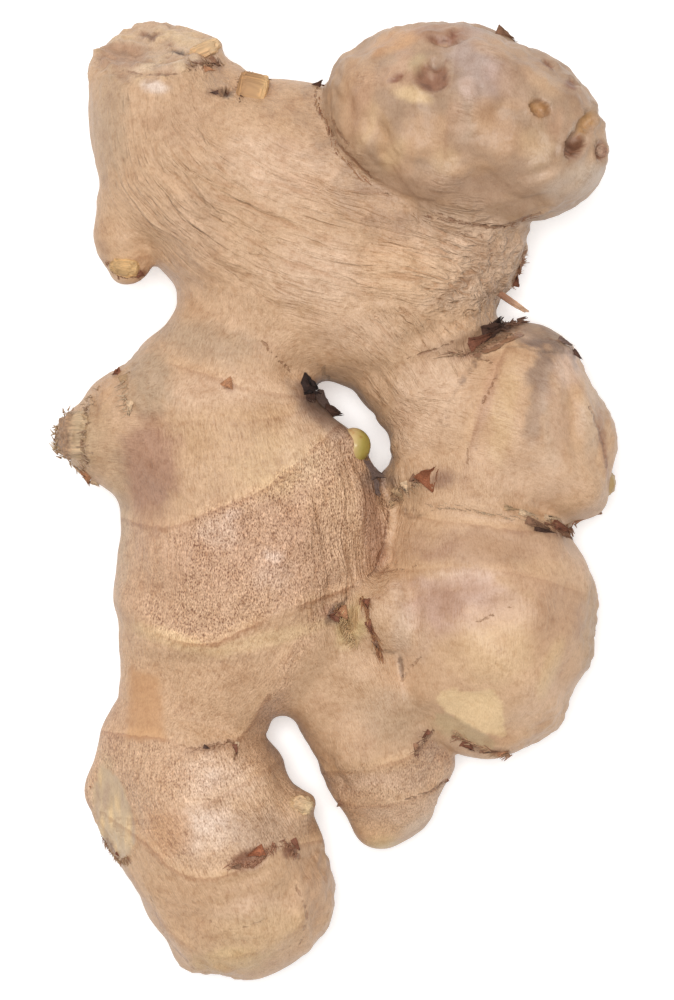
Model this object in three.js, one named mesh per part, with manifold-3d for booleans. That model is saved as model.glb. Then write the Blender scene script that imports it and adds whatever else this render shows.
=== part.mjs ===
// A hand of fresh ginger: one rhizome of swollen, ringed fingers with its buds, scars and torn scale leaves,
// lying flat as picked. Millimetres, +Z up, +Y from the lowest finger's tip towards the crown scar. The
// origin is on the surface that it lies on, under the middle of its bounding box.
//
// The fingers are chains of stations, each a place on the finger's middle line with its half width and half
// height. They make a distance field, blended softly where flesh runs on and hard where two fingers press on
// each other, and the field's zero surface is netted into triangles. Finer things are joined on afterwards.
import * as THREE from "three";
import { mergeVertices } from "three/addons/utils/BufferGeometryUtils.js";
import Module from "manifold-3d";

// Driving dimensions.
const LENGTH = 150; // along Y, crown scar to the longest finger's tip
const WIDTH = 88; // along X
const HEIGHT = 44; // along Z, up to the top of the raised knob
const NET_CELL = 2.8; // the net's cell
const NET_MARGIN = 2.5 * NET_CELL; // air round the fingers inside the grid
const EVENING_PASSES = 3; // times that the net's triangles are made more even
const STEPS_A_SPAN = 4; // links between two stations

// How softly one finger runs into the next.
const FLESH_BLEND = 5; // where a finger grows out of another
const FOLD_BLEND = 1.4; // where two fingers press on each other, or a knob sits on the body
const SCAR_BLEND = 1.8; // the rounding round a broken or cut face

// Rings are the scars of scale leaves: the skin swells towards the ring and drops behind it.
const RING_HEIGHT = 0.6;
const RING_RISE = 5; // how far before the ring the swelling starts
const RING_DROP = 1.3; // how far behind the ring it ends

// A station is [x, y, z, half width, half height]. A ring is its share of the ring height and the line that
// it draws in plan, with the finger's tip on the line's right.
const FINGERS = {
  crown: {
    stations: [
      [-28.0, 68.8, 15.0, 10.6, 10.6],
      [-28.2, 64.5, 15.3, 10.8, 11.0],
      [-27.2, 60.0, 15.4, 11.3, 11.8],
      [-24.2, 52.8, 15.2, 13.6, 13.2],
    ],
    rings: [],
  },
  saddle: {
    stations: [
      [-20.5, 58.5, 15.4, 8.2, 8.6],
      [-11.0, 56.6, 15.8, 8.2, 9.0],
      [0.0, 55.0, 16.4, 8.0, 9.6],
    ],
    rings: [],
  },
  body: {
    stations: [
      [-22.0, 50.6, 15.0, 13.6, 13.4],
      [-11.6, 46.4, 15.6, 18.2, 15.4],
      [0.9, 38.9, 16.2, 20.0, 16.0],
      [14.2, 38.2, 16.0, 13.4, 14.4],
    ],
    rings: [],
  },
  knob: {
    stations: [
      [9.1, 61.2, 25.5, 11.2, 11.6],
      [17.4, 59.3, 28.0, 14.5, 14.9],
      [24.4, 57.7, 28.4, 13.7, 14.6],
      [28.8, 55.3, 28.5, 12.8, 14.0],
    ],
    rings: [
      { share: 0.5, line: [[6.0, 48.1], [3.2, 54.4], [2.1, 60.6], [5.5, 68.4], [9.6, 73.8]] },
      { share: 0.45, line: [[15.9, 46.1], [16.3, 54.7], [17.4, 62.5], [18.2, 68.8], [19.9, 75.0]] },
    ],
  },
  neck: {
    stations: [
      [13.4, 37.6, 16.0, 12.4, 13.6],
      [17.2, 45.6, 19.5, 12.5, 13.0],
      [20.6, 54.0, 25.0, 12.0, 12.5],
    ],
    rings: [],
  },
  shoulder: {
    stations: [
      [7.6, 30.4, 15.8, 12.2, 13.2],
      [13.0, 24.2, 15.2, 11.8, 12.0],
      [17.4, 17.8, 14.6, 12.9, 12.2],
      [21.3, 9.4, 14.2, 12.6, 12.6],
      [21.4, 2.0, 13.8, 13.3, 12.2],
      [20.8, -3.0, 13.4, 12.9, 11.6],
    ],
    rings: [],
  },
  lobe: {
    stations: [
      [21.8, 13.8, 14.6, 12.8, 12.8],
      [27.2, 12.9, 14.6, 14.7, 13.6],
      [33.0, 7.0, 14.6, 11.0, 11.2],
    ],
    rings: [
      {
        share: 0.8,
        line: [
          [19.6, 2.5], [20.1, 7.0], [20.9, 10.3], [22.3, 14.4], [24.0, 18.8], [25.7, 23.1], [28.4, 27.8],
        ],
      },
      { share: 0.5, line: [[42.3, 1.2], [41.6, 5.5], [40.9, 9.4], [39.6, 13.8], [37.1, 18.1]] },
    ],
  },
  heel: {
    stations: [
      [20.8, -4.4, 13.4, 12.8, 11.6],
      [22.8, -12.0, 14.4, 15.4, 14.0],
      [24.1, -18.8, 15.0, 16.4, 15.2],
      [23.5, -25.0, 15.0, 14.9, 13.8],
    ],
    rings: [
      {
        share: 0.7,
        line: [
          [7.1, 0.0], [11.2, -1.9], [16.2, -3.1], [21.6, -3.6], [27.1, -4.5], [32.6, -4.4], [39.9, -2.8],
        ],
      },
      {
        share: 0.5,
        line: [
          [4.0, -11.4], [9.9, -10.8], [16.2, -10.3], [22.4, -10.5], [30.2, -11.7], [38.8, -14.4],
        ],
      },
    ],
  },
  palm: {
    stations: [
      [-13.6, 26.2, 15.0, 11.4, 12.0],
      [-17.4, 16.9, 15.2, 13.0, 13.2],
      [-15.6, 7.8, 15.8, 16.8, 14.9],
      [-13.0, -0.8, 15.8, 19.9, 15.2],
      [-13.4, -7.0, 15.6, 19.9, 15.0],
      [-15.0, -14.1, 15.0, 19.0, 14.2],
      [-17.9, -22.7, 14.4, 15.8, 12.8],
      [-22.6, -33.4, 13.4, 10.9, 11.2],
      [-23.7, -38.5, 13.4, 12.1, 12.0],
      [-23.2, -44.5, 13.7, 15.0, 13.4],
      [-20.4, -50.0, 14.0, 15.5, 14.4],
      [-17.6, -55.6, 14.0, 15.0, 14.0],
      [-15.1, -60.7, 13.6, 14.1, 12.8],
    ],
    rings: [
      { share: 0.7, line: [[-34.1, 23.8], [-26.8, 21.6], [-19.0, 19.2], [-13.2, 17.2], [-5.4, 16.2]] },
      { share: 0.5, line: [[-34.1, 11.2], [-26.0, 12.2], [-17.9, 12.5], [-9.6, 12.8], [-2.9, 15.0]] },
      {
        share: 0.9,
        line: [
          [-35.7, -1.9], [-26.8, -4.1], [-19.8, -1.7], [-12.4, 1.2], [-7.0, 5.0], [-2.3, 9.4],
        ],
      },
      {
        share: 1.5,
        line: [
          [-36.3, -13.4], [-33.5, -16.6], [-29.1, -19.7], [-24.1, -21.7], [-18.8, -21.9], [-14.1, -19.7],
          [-7.3, -16.7], [-0.1, -14.1],
        ],
      },
      {
        share: 1,
        line: [
          [-38.2, -35.6], [-32.3, -36.4], [-26.5, -36.7], [-22.1, -38.3], [-16.6, -37.7], [-13.5, -34.7],
          [-11.3, -30.9],
        ],
      },
      {
        share: 0.6,
        line: [
          [-37.6, -49.2], [-29.9, -49.2], [-25.1, -47.7], [-19.6, -46.4], [-13.5, -43.1], [-7.0, -39.4],
        ],
      },
      {
        share: 1,
        line: [
          [-34.1, -50.0], [-28.8, -53.4], [-25.1, -57.0], [-20.4, -58.3], [-15.7, -57.2], [-11.3, -55.0],
          [-5.7, -53.4], [-1.0, -52.8],
        ],
      },
      {
        share: 0.7,
        line: [
          [-31.0, -59.4], [-28.0, -64.1], [-24.1, -68.4], [-18.2, -70.9], [-11.6, -69.5], [-7.0, -67.0],
          [-4.3, -63.4], [-2.3, -58.8],
        ],
      },
    ],
  },
  thumb: {
    stations: [
      [-10.7, -19.1, 14.4, 13.0, 12.0],
      [0.2, -28.8, 13.0, 9.0, 9.4],
      [6.5, -37.4, 11.6, 10.1, 9.8],
      [8.3, -43.6, 10.6, 9.0, 8.6],
      [8.0, -48.4, 10.0, 6.2, 6.2],
    ],
    rings: [
      {
        share: 0.9,
        line: [
          [-2.3, -42.5], [2.1, -41.9], [7.6, -40.9], [11.8, -39.4], [14.6, -36.6], [16.8, -33.1],
        ],
      },
      { share: 0.7, line: [[-1.3, -46.4], [3.7, -47.5], [9.9, -47.0], [14.6, -45.3], [18.0, -42.5]] },
      { share: 0.5, line: [[2.4, -50.6], [5.9, -52.8], [10.2, -52.8], [15.2, -49.4]] },
    ],
  },
  leftBud: {
    stations: [
      [-24.6, 11.8, 15.0, 12.0, 11.5],
      [-30.2, 11.4, 15.0, 9.6, 9.4],
      [-36.2, 11.0, 15.2, 6.7, 6.7],
      [-40.9, 10.3, 15.4, 3.0, 3.0],
    ],
    rings: [
      { share: 0.7, line: [[-29.1, 24.7], [-31.3, 18.1], [-32.1, 12.5], [-32.9, 7.0], [-35.4, 1.9]] },
      { share: 0.5, line: [[-35.7, 18.1], [-36.8, 12.5], [-37.3, 7.8], [-38.8, 2.8]] },
    ],
  },
  crownBud: {
    stations: [
      [-29.1, 45.0, 16.5, 6.0, 6.2],
      [-32.4, 40.6, 17.0, 4.9, 5.0],
      [-32.4, 36.9, 17.2, 3.6, 3.8],
    ],
    rings: [
      { share: 0.7, line: [[-37.3, 38.4], [-34.5, 37.2], [-31.3, 37.8]] },
    ],
  },
  web: {
    stations: [
      [8.4, -3.6, 12.0, 4.2, 5.4],
      [6.8, -10.0, 12.0, 5.4, 6.0],
      [6.0, -18.0, 13.0, 6.5, 8.4],
      [7.4, -25.0, 13.0, 6.8, 9.2],
      [11.0, -31.0, 12.4, 4.8, 6.6],
    ],
    rings: [],
  },
  brokenBud: {
    stations: [
      [10.6, -16.6, 18.0, 7.4, 7.8],
      [5.4, -18.4, 19.8, 5.8, 6.2],
      [1.0, -19.4, 21.0, 4.6, 5.0],
    ],
    rings: [],
  },
  eyeBud: {
    stations: [
      [-6.0, 6.6, 17.6, 6.0, 6.4],
      [-1.4, 7.6, 18.6, 4.0, 4.4],
      [1.4, 8.2, 18.8, 2.9, 3.2],
    ],
    rings: [],
  },
  sideBud: {
    stations: [
      [-7.6, -46.6, 15.0, 3.0, 3.2],
      [-5.2, -47.0, 15.4, 1.6, 1.7],
    ],
    rings: [],
  },
};

// Between the long finger and the thumb the soft blend hardens, so that their crotch stays open.
const CROTCH = { from: -36, to: -26, blend: 1.0 };

// Broken and cut faces: a point on the face, and the way that it faces.
const SCARS = {
  crown: { at: [-27.3, 70.9, 15.5], facing: [-0.14, 0.87, 0.47] },
  palm: { at: [-36.4, -48.0, 17.0], facing: [-0.8, -0.05, 0.6] },
  heel: { at: [20.9, -32.4, 25.0], facing: [-0.15, -0.6, 0.78] },
  brokenBud: { at: [0.9, -19.4, 22.0], facing: [-0.86, -0.1, 0.5] },
};

// Pits and dimples: place on the skin, half width and depth.
const PITS = [
  [14.4, 65.6, 39.0, 2.9, 1.0],
  [30.9, 59.8, 41.0, 1.9, 1.1],
  [37.3, 56.2, 37.0, 2.4, 1.6],
  [-15.6, 64.0, 22.0, 1.6, 1.2],
];

// Dents of the side walls and, below zero, swellings: [x, y, half width, depth].
const DENTS = [
  [-38.8, 63.0, 4.0, -0.2], [-38.0, 69.6, 3.0, 0.5], [-37.6, 43.5, 4.5, -0.3], [-17.6, 69.8, 3.4, 0.6],
  [-15.4, 67.2, 2.6, -0.5], [30.8, 70.4, 5.0, 0.4], [41.4, 61.6, 2.2, -0.5], [40.6, 48.6, 4.0, -0.6],
  [34.0, 45.0, 3.0, 0.5], [29.0, 38.5, 3.4, -1.0], [26.4, 30.4, 3.2, 2.0], [33.6, 25.6, 3.2, -0.6],
  [35.8, 23.4, 2.4, -0.5], [40.2, 20.2, 5.0, 1.3], [39.2, -1.0, 4.2, -1.0], [38.6, -29.0, 6.0, 0.5],
  [24.0, -40.2, 3.0, -0.4], [17.6, -42.0, 4.0, -0.5], [14.8, -49.6, 3.6, 0.4], [7.4, -54.2, 3.0, -0.4],
  [-10.2, -34.2, 2.4, 1.8], [-9.0, -37.4, 4.2, 1.2], [-4.6, -36.0, 3.0, -1.0], [-6.2, -43.0, 3.6, 0.6],
  [-4.2, -47.0, 2.2, -0.9], [-2.6, -53.6, 4.4, 0.4], [-2.0, -66.4, 5.4, -0.9], [-23.4, -73.6, 5.0, -1.4],
  [-10.0, -75.2, 4.0, 0.2], [-33.4, -60.4, 5.0, 0.9], [-36.2, -54.0, 4.4, -0.5], [-38.8, -41.0, 4.4, -0.3],
  [-36.6, -35.0, 3.6, 0.4], [-35.0, -29.4, 5.4, -0.6], [-35.4, -15.2, 3.6, -1.0], [-34.4, -2.4, 5.4, -0.3],
  [-38.4, 5.6, 4.4, -1.0], [-39.6, 15.2, 4.0, 0.5], [-33.4, 21.4, 4.4, -0.5], [5.2, 7.4, 2.4, 1.4],
  [4.8, 16.4, 2.6, -1.2], [-1.6, 16.2, 2.0, 5.0], [1.2, 14.4, 2.0, 6.0], [3.6, 12.4, 2.0, 3.0],
  [7.4, 10.2, 2.0, 1.0], [8.2, 3.4, 2.0, -0.8],
];

// Small swollen tips, each an ellipsoid: its place, half length and half width, and its long axis's turn.
const TIPS = [
  { at: [2.6, 8.5, 19.4], half: [3.2, 2.8], turn: 8 }, // the green bud in the eye between palm and shoulder
  { at: [41.4, 2.6, 14.6], half: [1.9, 1.5], turn: -10 }, // on the lobe's right side
  { at: [39.9, 53.6, 28.5], half: [1.9, 1.6], turn: -15 }, // on the knob's right side
];

// The square stump of a broken stem beside the crown.
const STUMP = { at: [-12.3, 62.6], side: 4.1, top: 0.86, height: 5.2, sunk: 2.6, turn: 12 };

// A dried root, cut short, in the notch between body and lobe.
const ROOT = { from: [23.0, 34.6, 17.0], to: [29.4, 29.6, 18.4], width: 1.3, sides: 8 };

// Torn scale leaves, each rooted on a ring: where it starts on the skin, its length and width, the way it
// points in plan and how steeply it rises, in degrees.
const SCALE_THICK = 0.8;
const SCALE_SUNK = 1.6;
const SCALES = [
  { at: [-4.6, 18.2], length: 4.6, width: 3.4, points: -24, rises: 4 },
  { at: [-5.6, 16.0], length: 4.4, width: 2.8, points: -50, rises: 2 },
  { at: [-1.0, 12.6], length: 4.2, width: 2.8, points: -6, rises: 6 },
  { at: [23.0, 25.6], length: 5.4, width: 3.4, points: 16, rises: 12 },
  { at: [25.6, 36.4], length: 4.4, width: 2.2, points: 68, rises: 8 },
  { at: [31.6, -3.4], length: 6.4, width: 2.8, points: -20, rises: 0 },
  { at: [25.6, 70.2], length: 3.4, width: 2.2, points: 25, rises: 0 },
  { at: [-37.4, 5.4], length: 3.6, width: 2.2, points: -96, rises: 0 },
  { at: [-0.8, -15.4], length: 4.2, width: 3.0, points: 176, rises: 14 },
  { at: [14.6, 3.6], length: 4.4, width: 3.2, points: 20, rises: 16 },
];

// One value of a station between two others, on a Catmull-Rom curve.
function between(before, from, to, after, t) {
  const slopeFrom = (to - before) / 2;
  const slopeTo = (after - from) / 2;
  const t2 = t * t;
  const t3 = t2 * t;
  const places = (2 * t3 - 3 * t2 + 1) * from + (3 * t2 - 2 * t3) * to;
  const slopes = (t3 - 2 * t2 + t) * slopeFrom + (t3 - t2) * slopeTo;
  return places + slopes;
}

// Points of a smooth curve through the given ones.
function smoothed(points) {
  const last = points.length - 1;
  const curve = [];
  for (let i = 0; i < last; i++) {
    const four = [points[Math.max(i - 1, 0)], points[i], points[i + 1], points[Math.min(i + 2, last)]];
    for (let step = 0; step < STEPS_A_SPAN; step++) {
      curve.push(four[0].map((_, k) => between(...four.map((point) => point[k]), step / STEPS_A_SPAN)));
    }
  }
  curve.push(points[last]);
  return curve;
}

// A finger's stations as short links, each with its two ends, and its rings as smooth lines.
function linksOf({ stations, rings }) {
  const points = smoothed(stations);
  const links = points.slice(1).map((to, i) => {
    const from = points[i];
    return { from, to, length: Math.hypot(to[0] - from[0], to[1] - from[1], to[2] - from[2]) };
  });
  return { links, rings: rings.map(({ share, line }) => ({ share, line: smoothed(line) })) };
}

// How far a place in plan is past a line, on its right, and below zero before it. The line runs on at its
// ends.
function pastLine(line, x, y) {
  let nearest = Infinity;
  let past = 0;
  for (let i = 1; i < line.length; i++) {
    const [ax, ay] = line[i - 1];
    const dx = line[i][0] - ax;
    const dy = line[i][1] - ay;
    const reach = ((x - ax) * dx + (y - ay) * dy) / (dx * dx + dy * dy);
    const t = THREE.MathUtils.clamp(reach, i === 1 ? -Infinity : 0, i === line.length - 1 ? Infinity : 1);
    const away = Math.hypot(x - ax - t * dx, y - ay - t * dy);
    if (away < nearest) {
      nearest = away;
      past = Math.sign((x - ax) * dy - (y - ay) * dx) * away;
    }
  }
  return past;
}

// The swelling of the skin towards a finger's rings, and its drop behind them.
function ringSwelling(rings, x, y) {
  let swelling = 0;
  for (const { share, line } of rings) {
    const past = pastLine(line, x, y);
    swelling += share * (past < 0 ? Math.exp(past / RING_RISE) : Math.exp(-((past / RING_DROP) ** 2)));
  }
  return RING_HEIGHT * swelling;
}

// The distance to a finger's skin, from the link that is nearest. A link is an ellipse in section.
function fingerDistance({ links, rings }, x, y, z) {
  let nearest = Infinity;
  for (const { from, to, length } of links) {
    const dx = to[0] - from[0];
    const dy = to[1] - from[1];
    const dz = to[2] - from[2];
    const reach = ((x - from[0]) * dx + (y - from[1]) * dy + (z - from[2]) * dz) / (length * length);
    const t = THREE.MathUtils.clamp(reach, 0, 1);
    const half = from[3] + (to[3] - from[3]) * t;
    const tall = from[4] + (to[4] - from[4]) * t;
    const ox = x - from[0] - dx * t;
    const oy = y - from[1] - dy * t;
    const oz = ((z - from[2] - dz * t) * half) / tall;
    nearest = Math.min(nearest, Math.hypot(ox, oy, oz) - half);
  }
  return nearest < NET_MARGIN ? nearest - ringSwelling(rings, x, y) : nearest;
}

// The lower of two distances, rounded where they are nearly alike.
function blend(a, b, softness) {
  const near = Math.max(softness - Math.abs(a - b), 0) / softness;
  return Math.min(a, b) - (near * near * softness) / 4;
}

// What is left of a finger on the inner side of a broken face.
function broken(inside, { at, facing }, x, y, z) {
  const beyond = (x - at[0]) * facing[0] + (y - at[1]) * facing[1] + (z - at[2]) * facing[2];
  return -blend(-inside, -beyond, SCAR_BLEND);
}

// Slow unevenness, because no finger is quite round.
const LUMP_HEIGHT = 0.55;
function lumps(x, y, z) {
  return (
    LUMP_HEIGHT *
    (Math.sin(0.29 * x + 0.17 * y + 1.3) * Math.sin(0.33 * y - 0.21 * z + 0.4) +
      0.6 * Math.sin(0.51 * x - 0.23 * z + 2.0) * Math.sin(0.47 * y + 0.31 * z + 4.1))
  );
}

function pits(x, y, z) {
  let depth = 0;
  for (const [px, py, pz, half, deep] of PITS) {
    const away = (x - px) ** 2 + (y - py) ** 2 + (z - pz) ** 2;
    depth += deep * Math.exp(-away / (half * half));
  }
  return depth;
}

function dents(x, y) {
  let depth = 0;
  for (const [px, py, half, deep] of DENTS) {
    depth += deep * Math.exp(-((x - px) ** 2 + (y - py) ** 2) / (half * half));
  }
  return depth;
}

const fingers = Object.fromEntries(Object.entries(FINGERS).map(([name, finger]) => [name, linksOf(finger)]));

function distance(x, y, z) {
  const at = (name) => fingerDistance(fingers[name], x, y, z);
  const body = at("body");
  const crown = broken(blend(at("crown"), at("saddle"), FLESH_BLEND), SCARS.crown, x, y, z);
  const palm = broken(at("palm"), SCARS.palm, x, y, z);
  const crotch = THREE.MathUtils.smoothstep(y, CROTCH.from, CROTCH.to);
  let left = blend(palm, at("thumb"), THREE.MathUtils.lerp(CROTCH.blend, FLESH_BLEND, crotch));
  left = blend(left, at("web"), FLESH_BLEND);
  left = blend(left, at("leftBud"), FLESH_BLEND);
  left = blend(left, at("eyeBud"), FLESH_BLEND);
  left = blend(left, at("sideBud"), FOLD_BLEND);
  left = blend(left, blend(crown, body, FLESH_BLEND), FLESH_BLEND);
  left = blend(left, at("crownBud"), FOLD_BLEND);
  let right = blend(body, at("shoulder"), FLESH_BLEND);
  right = blend(right, at("lobe"), FOLD_BLEND);
  right = blend(right, broken(at("heel"), SCARS.heel, x, y, z), FOLD_BLEND);
  right = blend(right, broken(at("brokenBud"), SCARS.brokenBud, x, y, z), FOLD_BLEND);
  const raised = blend(at("knob"), at("neck"), FOLD_BLEND);
  const whole = blend(blend(left, right, FOLD_BLEND), raised, FOLD_BLEND);
  return whole - lumps(x, y, z) + pits(x, y, z) + dents(x, y);
}

// The field's zero surface as triangles: a vertex in each cell that the surface crosses, moved onto it, and
// two triangles across each grid edge that it crosses.
function net() {
  const low = [-WIDTH / 2 - NET_MARGIN, -LENGTH / 2 - NET_MARGIN, -NET_MARGIN];
  const count = [WIDTH + 2 * NET_MARGIN, LENGTH + 2 * NET_MARGIN, HEIGHT + 2 * NET_MARGIN].map((side) =>
    Math.ceil(side / NET_CELL),
  );
  const [nx, ny, nz] = count;
  const index = (i, j, k) => (k * (ny + 1) + j) * (nx + 1) + i;
  const values = new Float64Array((nx + 1) * (ny + 1) * (nz + 1));
  for (let k = 0; k <= nz; k++)
    for (let j = 0; j <= ny; j++)
      for (let i = 0; i <= nx; i++) {
        const corner = [i, j, k].map((cell, axis) => low[axis] + cell * NET_CELL);
        values[index(i, j, k)] = distance(...corner);
      }

  fillPinches(values, count, index);

  const vertexOf = new Map();
  const places = [];
  const corners = [0, 1, 2, 3, 4, 5, 6, 7].map((c) => [c & 1, (c >> 1) & 1, c >> 2]);
  for (let k = 0; k < nz; k++)
    for (let j = 0; j < ny; j++)
      for (let i = 0; i < nx; i++) {
        const held = corners.map(([a, b, c]) => values[index(i + a, j + b, k + c)]);
        const sum = [0, 0, 0];
        let crossings = 0;
        for (let a = 0; a < 8; a++)
          for (const bit of [1, 2, 4]) {
            const b = a | bit;
            if (a & bit || held[a] < 0 === held[b] < 0) continue;
            const t = held[a] / (held[a] - held[b]);
            for (let axis = 0; axis < 3; axis++)
              sum[axis] += corners[a][axis] + (corners[b][axis] - corners[a][axis]) * t;
            crossings++;
          }
        if (!crossings) continue;
        vertexOf.set(index(i, j, k), places.length);
        places.push([i, j, k].map((cell, axis) => low[axis] + NET_CELL * (cell + sum[axis] / crossings)));
      }
  places.forEach(ontoSurface);

  const quads = [];
  const steps = [index(1, 0, 0), index(0, 1, 0), index(0, 0, 1)];
  for (let k = 1; k < nz; k++)
    for (let j = 1; j < ny; j++)
      for (let i = 1; i < nx; i++)
        for (let axis = 0; axis < 3; axis++) {
          const here = index(i, j, k);
          const inside = values[here] < 0;
          if (inside === values[here + steps[axis]] < 0) continue;
          const u = steps[(axis + 1) % 3];
          const v = steps[(axis + 2) % 3];
          const quad = [here, here - u, here - u - v, here - v].map((cell) => vertexOf.get(cell));
          quads.push(inside ? quad : quad.reverse());
        }
  for (let pass = 0; pass < EVENING_PASSES; pass++) even(places, quads);

  const faces = quads.flatMap(([a, b, c, d]) =>
    apart(places[a], places[c]) < apart(places[b], places[d]) ? [a, b, c, a, c, d] : [b, c, d, b, d, a],
  );
  return { places, faces };
}

// Moves each vertex towards the middle of its neighbours and back onto the surface, to even the triangles.
function even(places, quads) {
  const sums = places.map(() => [0, 0, 0, 0]);
  for (const quad of quads)
    quad.forEach((here, i) => {
      for (const near of [quad[(i + 1) % 4], quad[(i + 3) % 4]]) {
        for (let axis = 0; axis < 3; axis++) sums[here][axis] += places[near][axis];
        sums[here][3]++;
      }
    });
  places.forEach((place, i) => {
    for (let axis = 0; axis < 3; axis++) {
      const middle = sums[i][axis] / sums[i][3];
      place[axis] = 0.4 * place[axis] + 0.6 * middle;
    }
    ontoSurface(place);
  });
}

// Where two opposite corners of a grid square are inside and the other two outside, the surface would touch
// itself along an edge. The outer corner nearest to the surface is filled there, until no square is left so.
function fillPinches(values, [nx, ny, nz], index) {
  const steps = [index(1, 0, 0), index(0, 1, 0), index(0, 0, 1)];
  const barelyInside = -0.02 * NET_CELL;
  let filled = true;
  while (filled) {
    filled = false;
    for (let k = 0; k < nz; k++)
      for (let j = 0; j < ny; j++)
        for (let i = 0; i < nx; i++)
          for (const [u, v] of [
            [steps[0], steps[1]],
            [steps[1], steps[2]],
            [steps[2], steps[0]],
          ]) {
            const a = index(i, j, k);
            const [one, other] = [
              [a, a + u + v],
              [a + u, a + v],
            ].sort((pair, next) => values[pair[0]] - values[next[0]]);
            const pinched = one.every((c) => values[c] < 0) && other.every((c) => values[c] >= 0);
            if (!pinched) continue;
            const nearest = values[other[0]] < values[other[1]] ? other[0] : other[1];
            values[nearest] = barelyInside;
            filled = true;
          }
  }
}

function apart(a, b) {
  return Math.hypot(a[0] - b[0], a[1] - b[1], a[2] - b[2]);
}

// Moves a point onto the surface by a few steps along the field's slope.
function ontoSurface(place) {
  const e = 0.05;
  for (let pass = 0; pass < 3; pass++) {
    const [x, y, z] = place;
    const here = distance(x, y, z);
    const slope = [
      (distance(x + e, y, z) - here) / e,
      (distance(x, y + e, z) - here) / e,
      (distance(x, y, z + e) - here) / e,
    ];
    const steep = slope[0] ** 2 + slope[1] ** 2 + slope[2] ** 2;
    const move = THREE.MathUtils.clamp(here / Math.max(steep, 0.2), -NET_CELL / 2, NET_CELL / 2);
    for (let axis = 0; axis < 3; axis++) place[axis] -= move * slope[axis];
  }
}

// How high the skin is over a place in plan.
function skinHeight(x, y) {
  let z = HEIGHT + 1;
  while (z > 0 && distance(x, y, z) > 0) z -= 0.1;
  return z;
}

const wasm = await Module();
wasm.setup();

function solidOf(geometry) {
  const bare = geometry.clone();
  bare.deleteAttribute("normal");
  bare.deleteAttribute("uv");
  const merged = mergeVertices(bare, 1e-4);
  const vertProperties = merged.attributes.position.array;
  return new wasm.Manifold(
    new wasm.Mesh({ numProp: 3, vertProperties, triVerts: new Uint32Array(merged.index.array) }),
  );
}

function geometryOf(solid) {
  const mesh = solid.getMesh();
  const geometry = new THREE.BufferGeometry();
  geometry.setAttribute("position", new THREE.BufferAttribute(mesh.vertProperties, 3));
  geometry.setIndex(new THREE.BufferAttribute(mesh.triVerts, 1));
  geometry.computeVertexNormals();
  return geometry;
}

function fleshGeometry() {
  const { places, faces } = net();
  const flesh = new THREE.BufferGeometry();
  flesh.setAttribute("position", new THREE.Float32BufferAttribute(places.flat(), 3));
  flesh.setIndex(faces);
  return flesh;
}

function tipGeometry({ at, half, turn }) {
  return new THREE.IcosahedronGeometry(1, 2)
    .scale(half[0], half[1], half[1])
    .rotateZ(THREE.MathUtils.degToRad(turn))
    .translate(...at);
}

function stumpGeometry({ at, side, top, height, sunk, turn }) {
  const corner = side / Math.SQRT2;
  return new THREE.CylinderGeometry(corner * top, corner, height, 4)
    .rotateX(Math.PI / 2)
    .rotateZ(THREE.MathUtils.degToRad(45 + turn))
    .translate(at[0], at[1], skinHeight(...at) + height / 2 - sunk);
}

function rootGeometry({ from, to, width, sides }) {
  const start = new THREE.Vector3(...from);
  const end = new THREE.Vector3(...to);
  const way = end.clone().sub(start);
  const upright = new THREE.Vector3(0, 1, 0);
  const turned = new THREE.Quaternion().setFromUnitVectors(upright, way.clone().normalize());
  return new THREE.CylinderGeometry(width / 2, width * 0.42, way.length(), sides)
    .applyQuaternion(turned)
    .translate(...start.add(end).multiplyScalar(0.5));
}

// A torn leaf base: broad where it is rooted and ragged at its end, of one thickness.
function scaleGeometry({ at, length, width, points, rises }) {
  const outline = new THREE.Shape();
  outline.moveTo(-SCALE_SUNK, -width * 0.4);
  outline.lineTo(length * 0.35, -width * 0.5);
  outline.lineTo(length * 0.8, -width * 0.26);
  outline.lineTo(length * 0.66, -width * 0.1);
  outline.lineTo(length, width * 0.05);
  outline.lineTo(length * 0.6, width * 0.24);
  outline.lineTo(length * 0.62, width * 0.42);
  outline.lineTo(-SCALE_SUNK, width * 0.5);
  return new THREE.ExtrudeGeometry(outline, { depth: SCALE_THICK, bevelEnabled: false })
    .translate(0, 0, -SCALE_THICK)
    .rotateY(-THREE.MathUtils.degToRad(rises))
    .rotateZ(THREE.MathUtils.degToRad(points))
    .translate(at[0], at[1], skinHeight(...at));
}

let root = solidOf(fleshGeometry());
const small = [
  ...TIPS.map(tipGeometry),
  stumpGeometry(STUMP),
  rootGeometry(ROOT),
  ...SCALES.map(scaleGeometry),
];
for (const geometry of small) root = root.add(solidOf(geometry));

// The surface it lies on presses the lowest places flat.
const under = new THREE.BoxGeometry(2 * WIDTH, 2 * LENGTH, HEIGHT).translate(0, 0, -HEIGHT / 2);
root = root.subtract(solidOf(under));

const skin = new THREE.MeshStandardMaterial({ color: 0xcfa982, roughness: 0.62, metalness: 0 });
const ginger = new THREE.Mesh(geometryOf(root), skin);
ginger.name = "ginger_root";

const group = new THREE.Group();
group.add(ginger);
export default group;
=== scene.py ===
# %% [markdown]
# # A hand of fresh ginger
#
# Ginger is a rhizome: an underground stem that swells into short fingers as it creeps along. Every finger
# carries faint rings where a scale leaf once sat, and every break and bud leaves its own scar. This lesson grows
# the skin from the same skeleton as the solid, then adds what a solid can't hold: grain, pores, torn scales,
# buds and dried fibres.
#
# The first cell loads the finished solid as a fixed frame. Everything here is in its frame, in metres, but the
# skeleton is written in millimetres, because that is how a rhizome is measured.

# %% The fixed frame
import math

import bpy
import bmesh
import numpy as np
from mathutils import Matrix, Vector, noise
from mathutils.bvhtree import BVHTree


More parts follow.
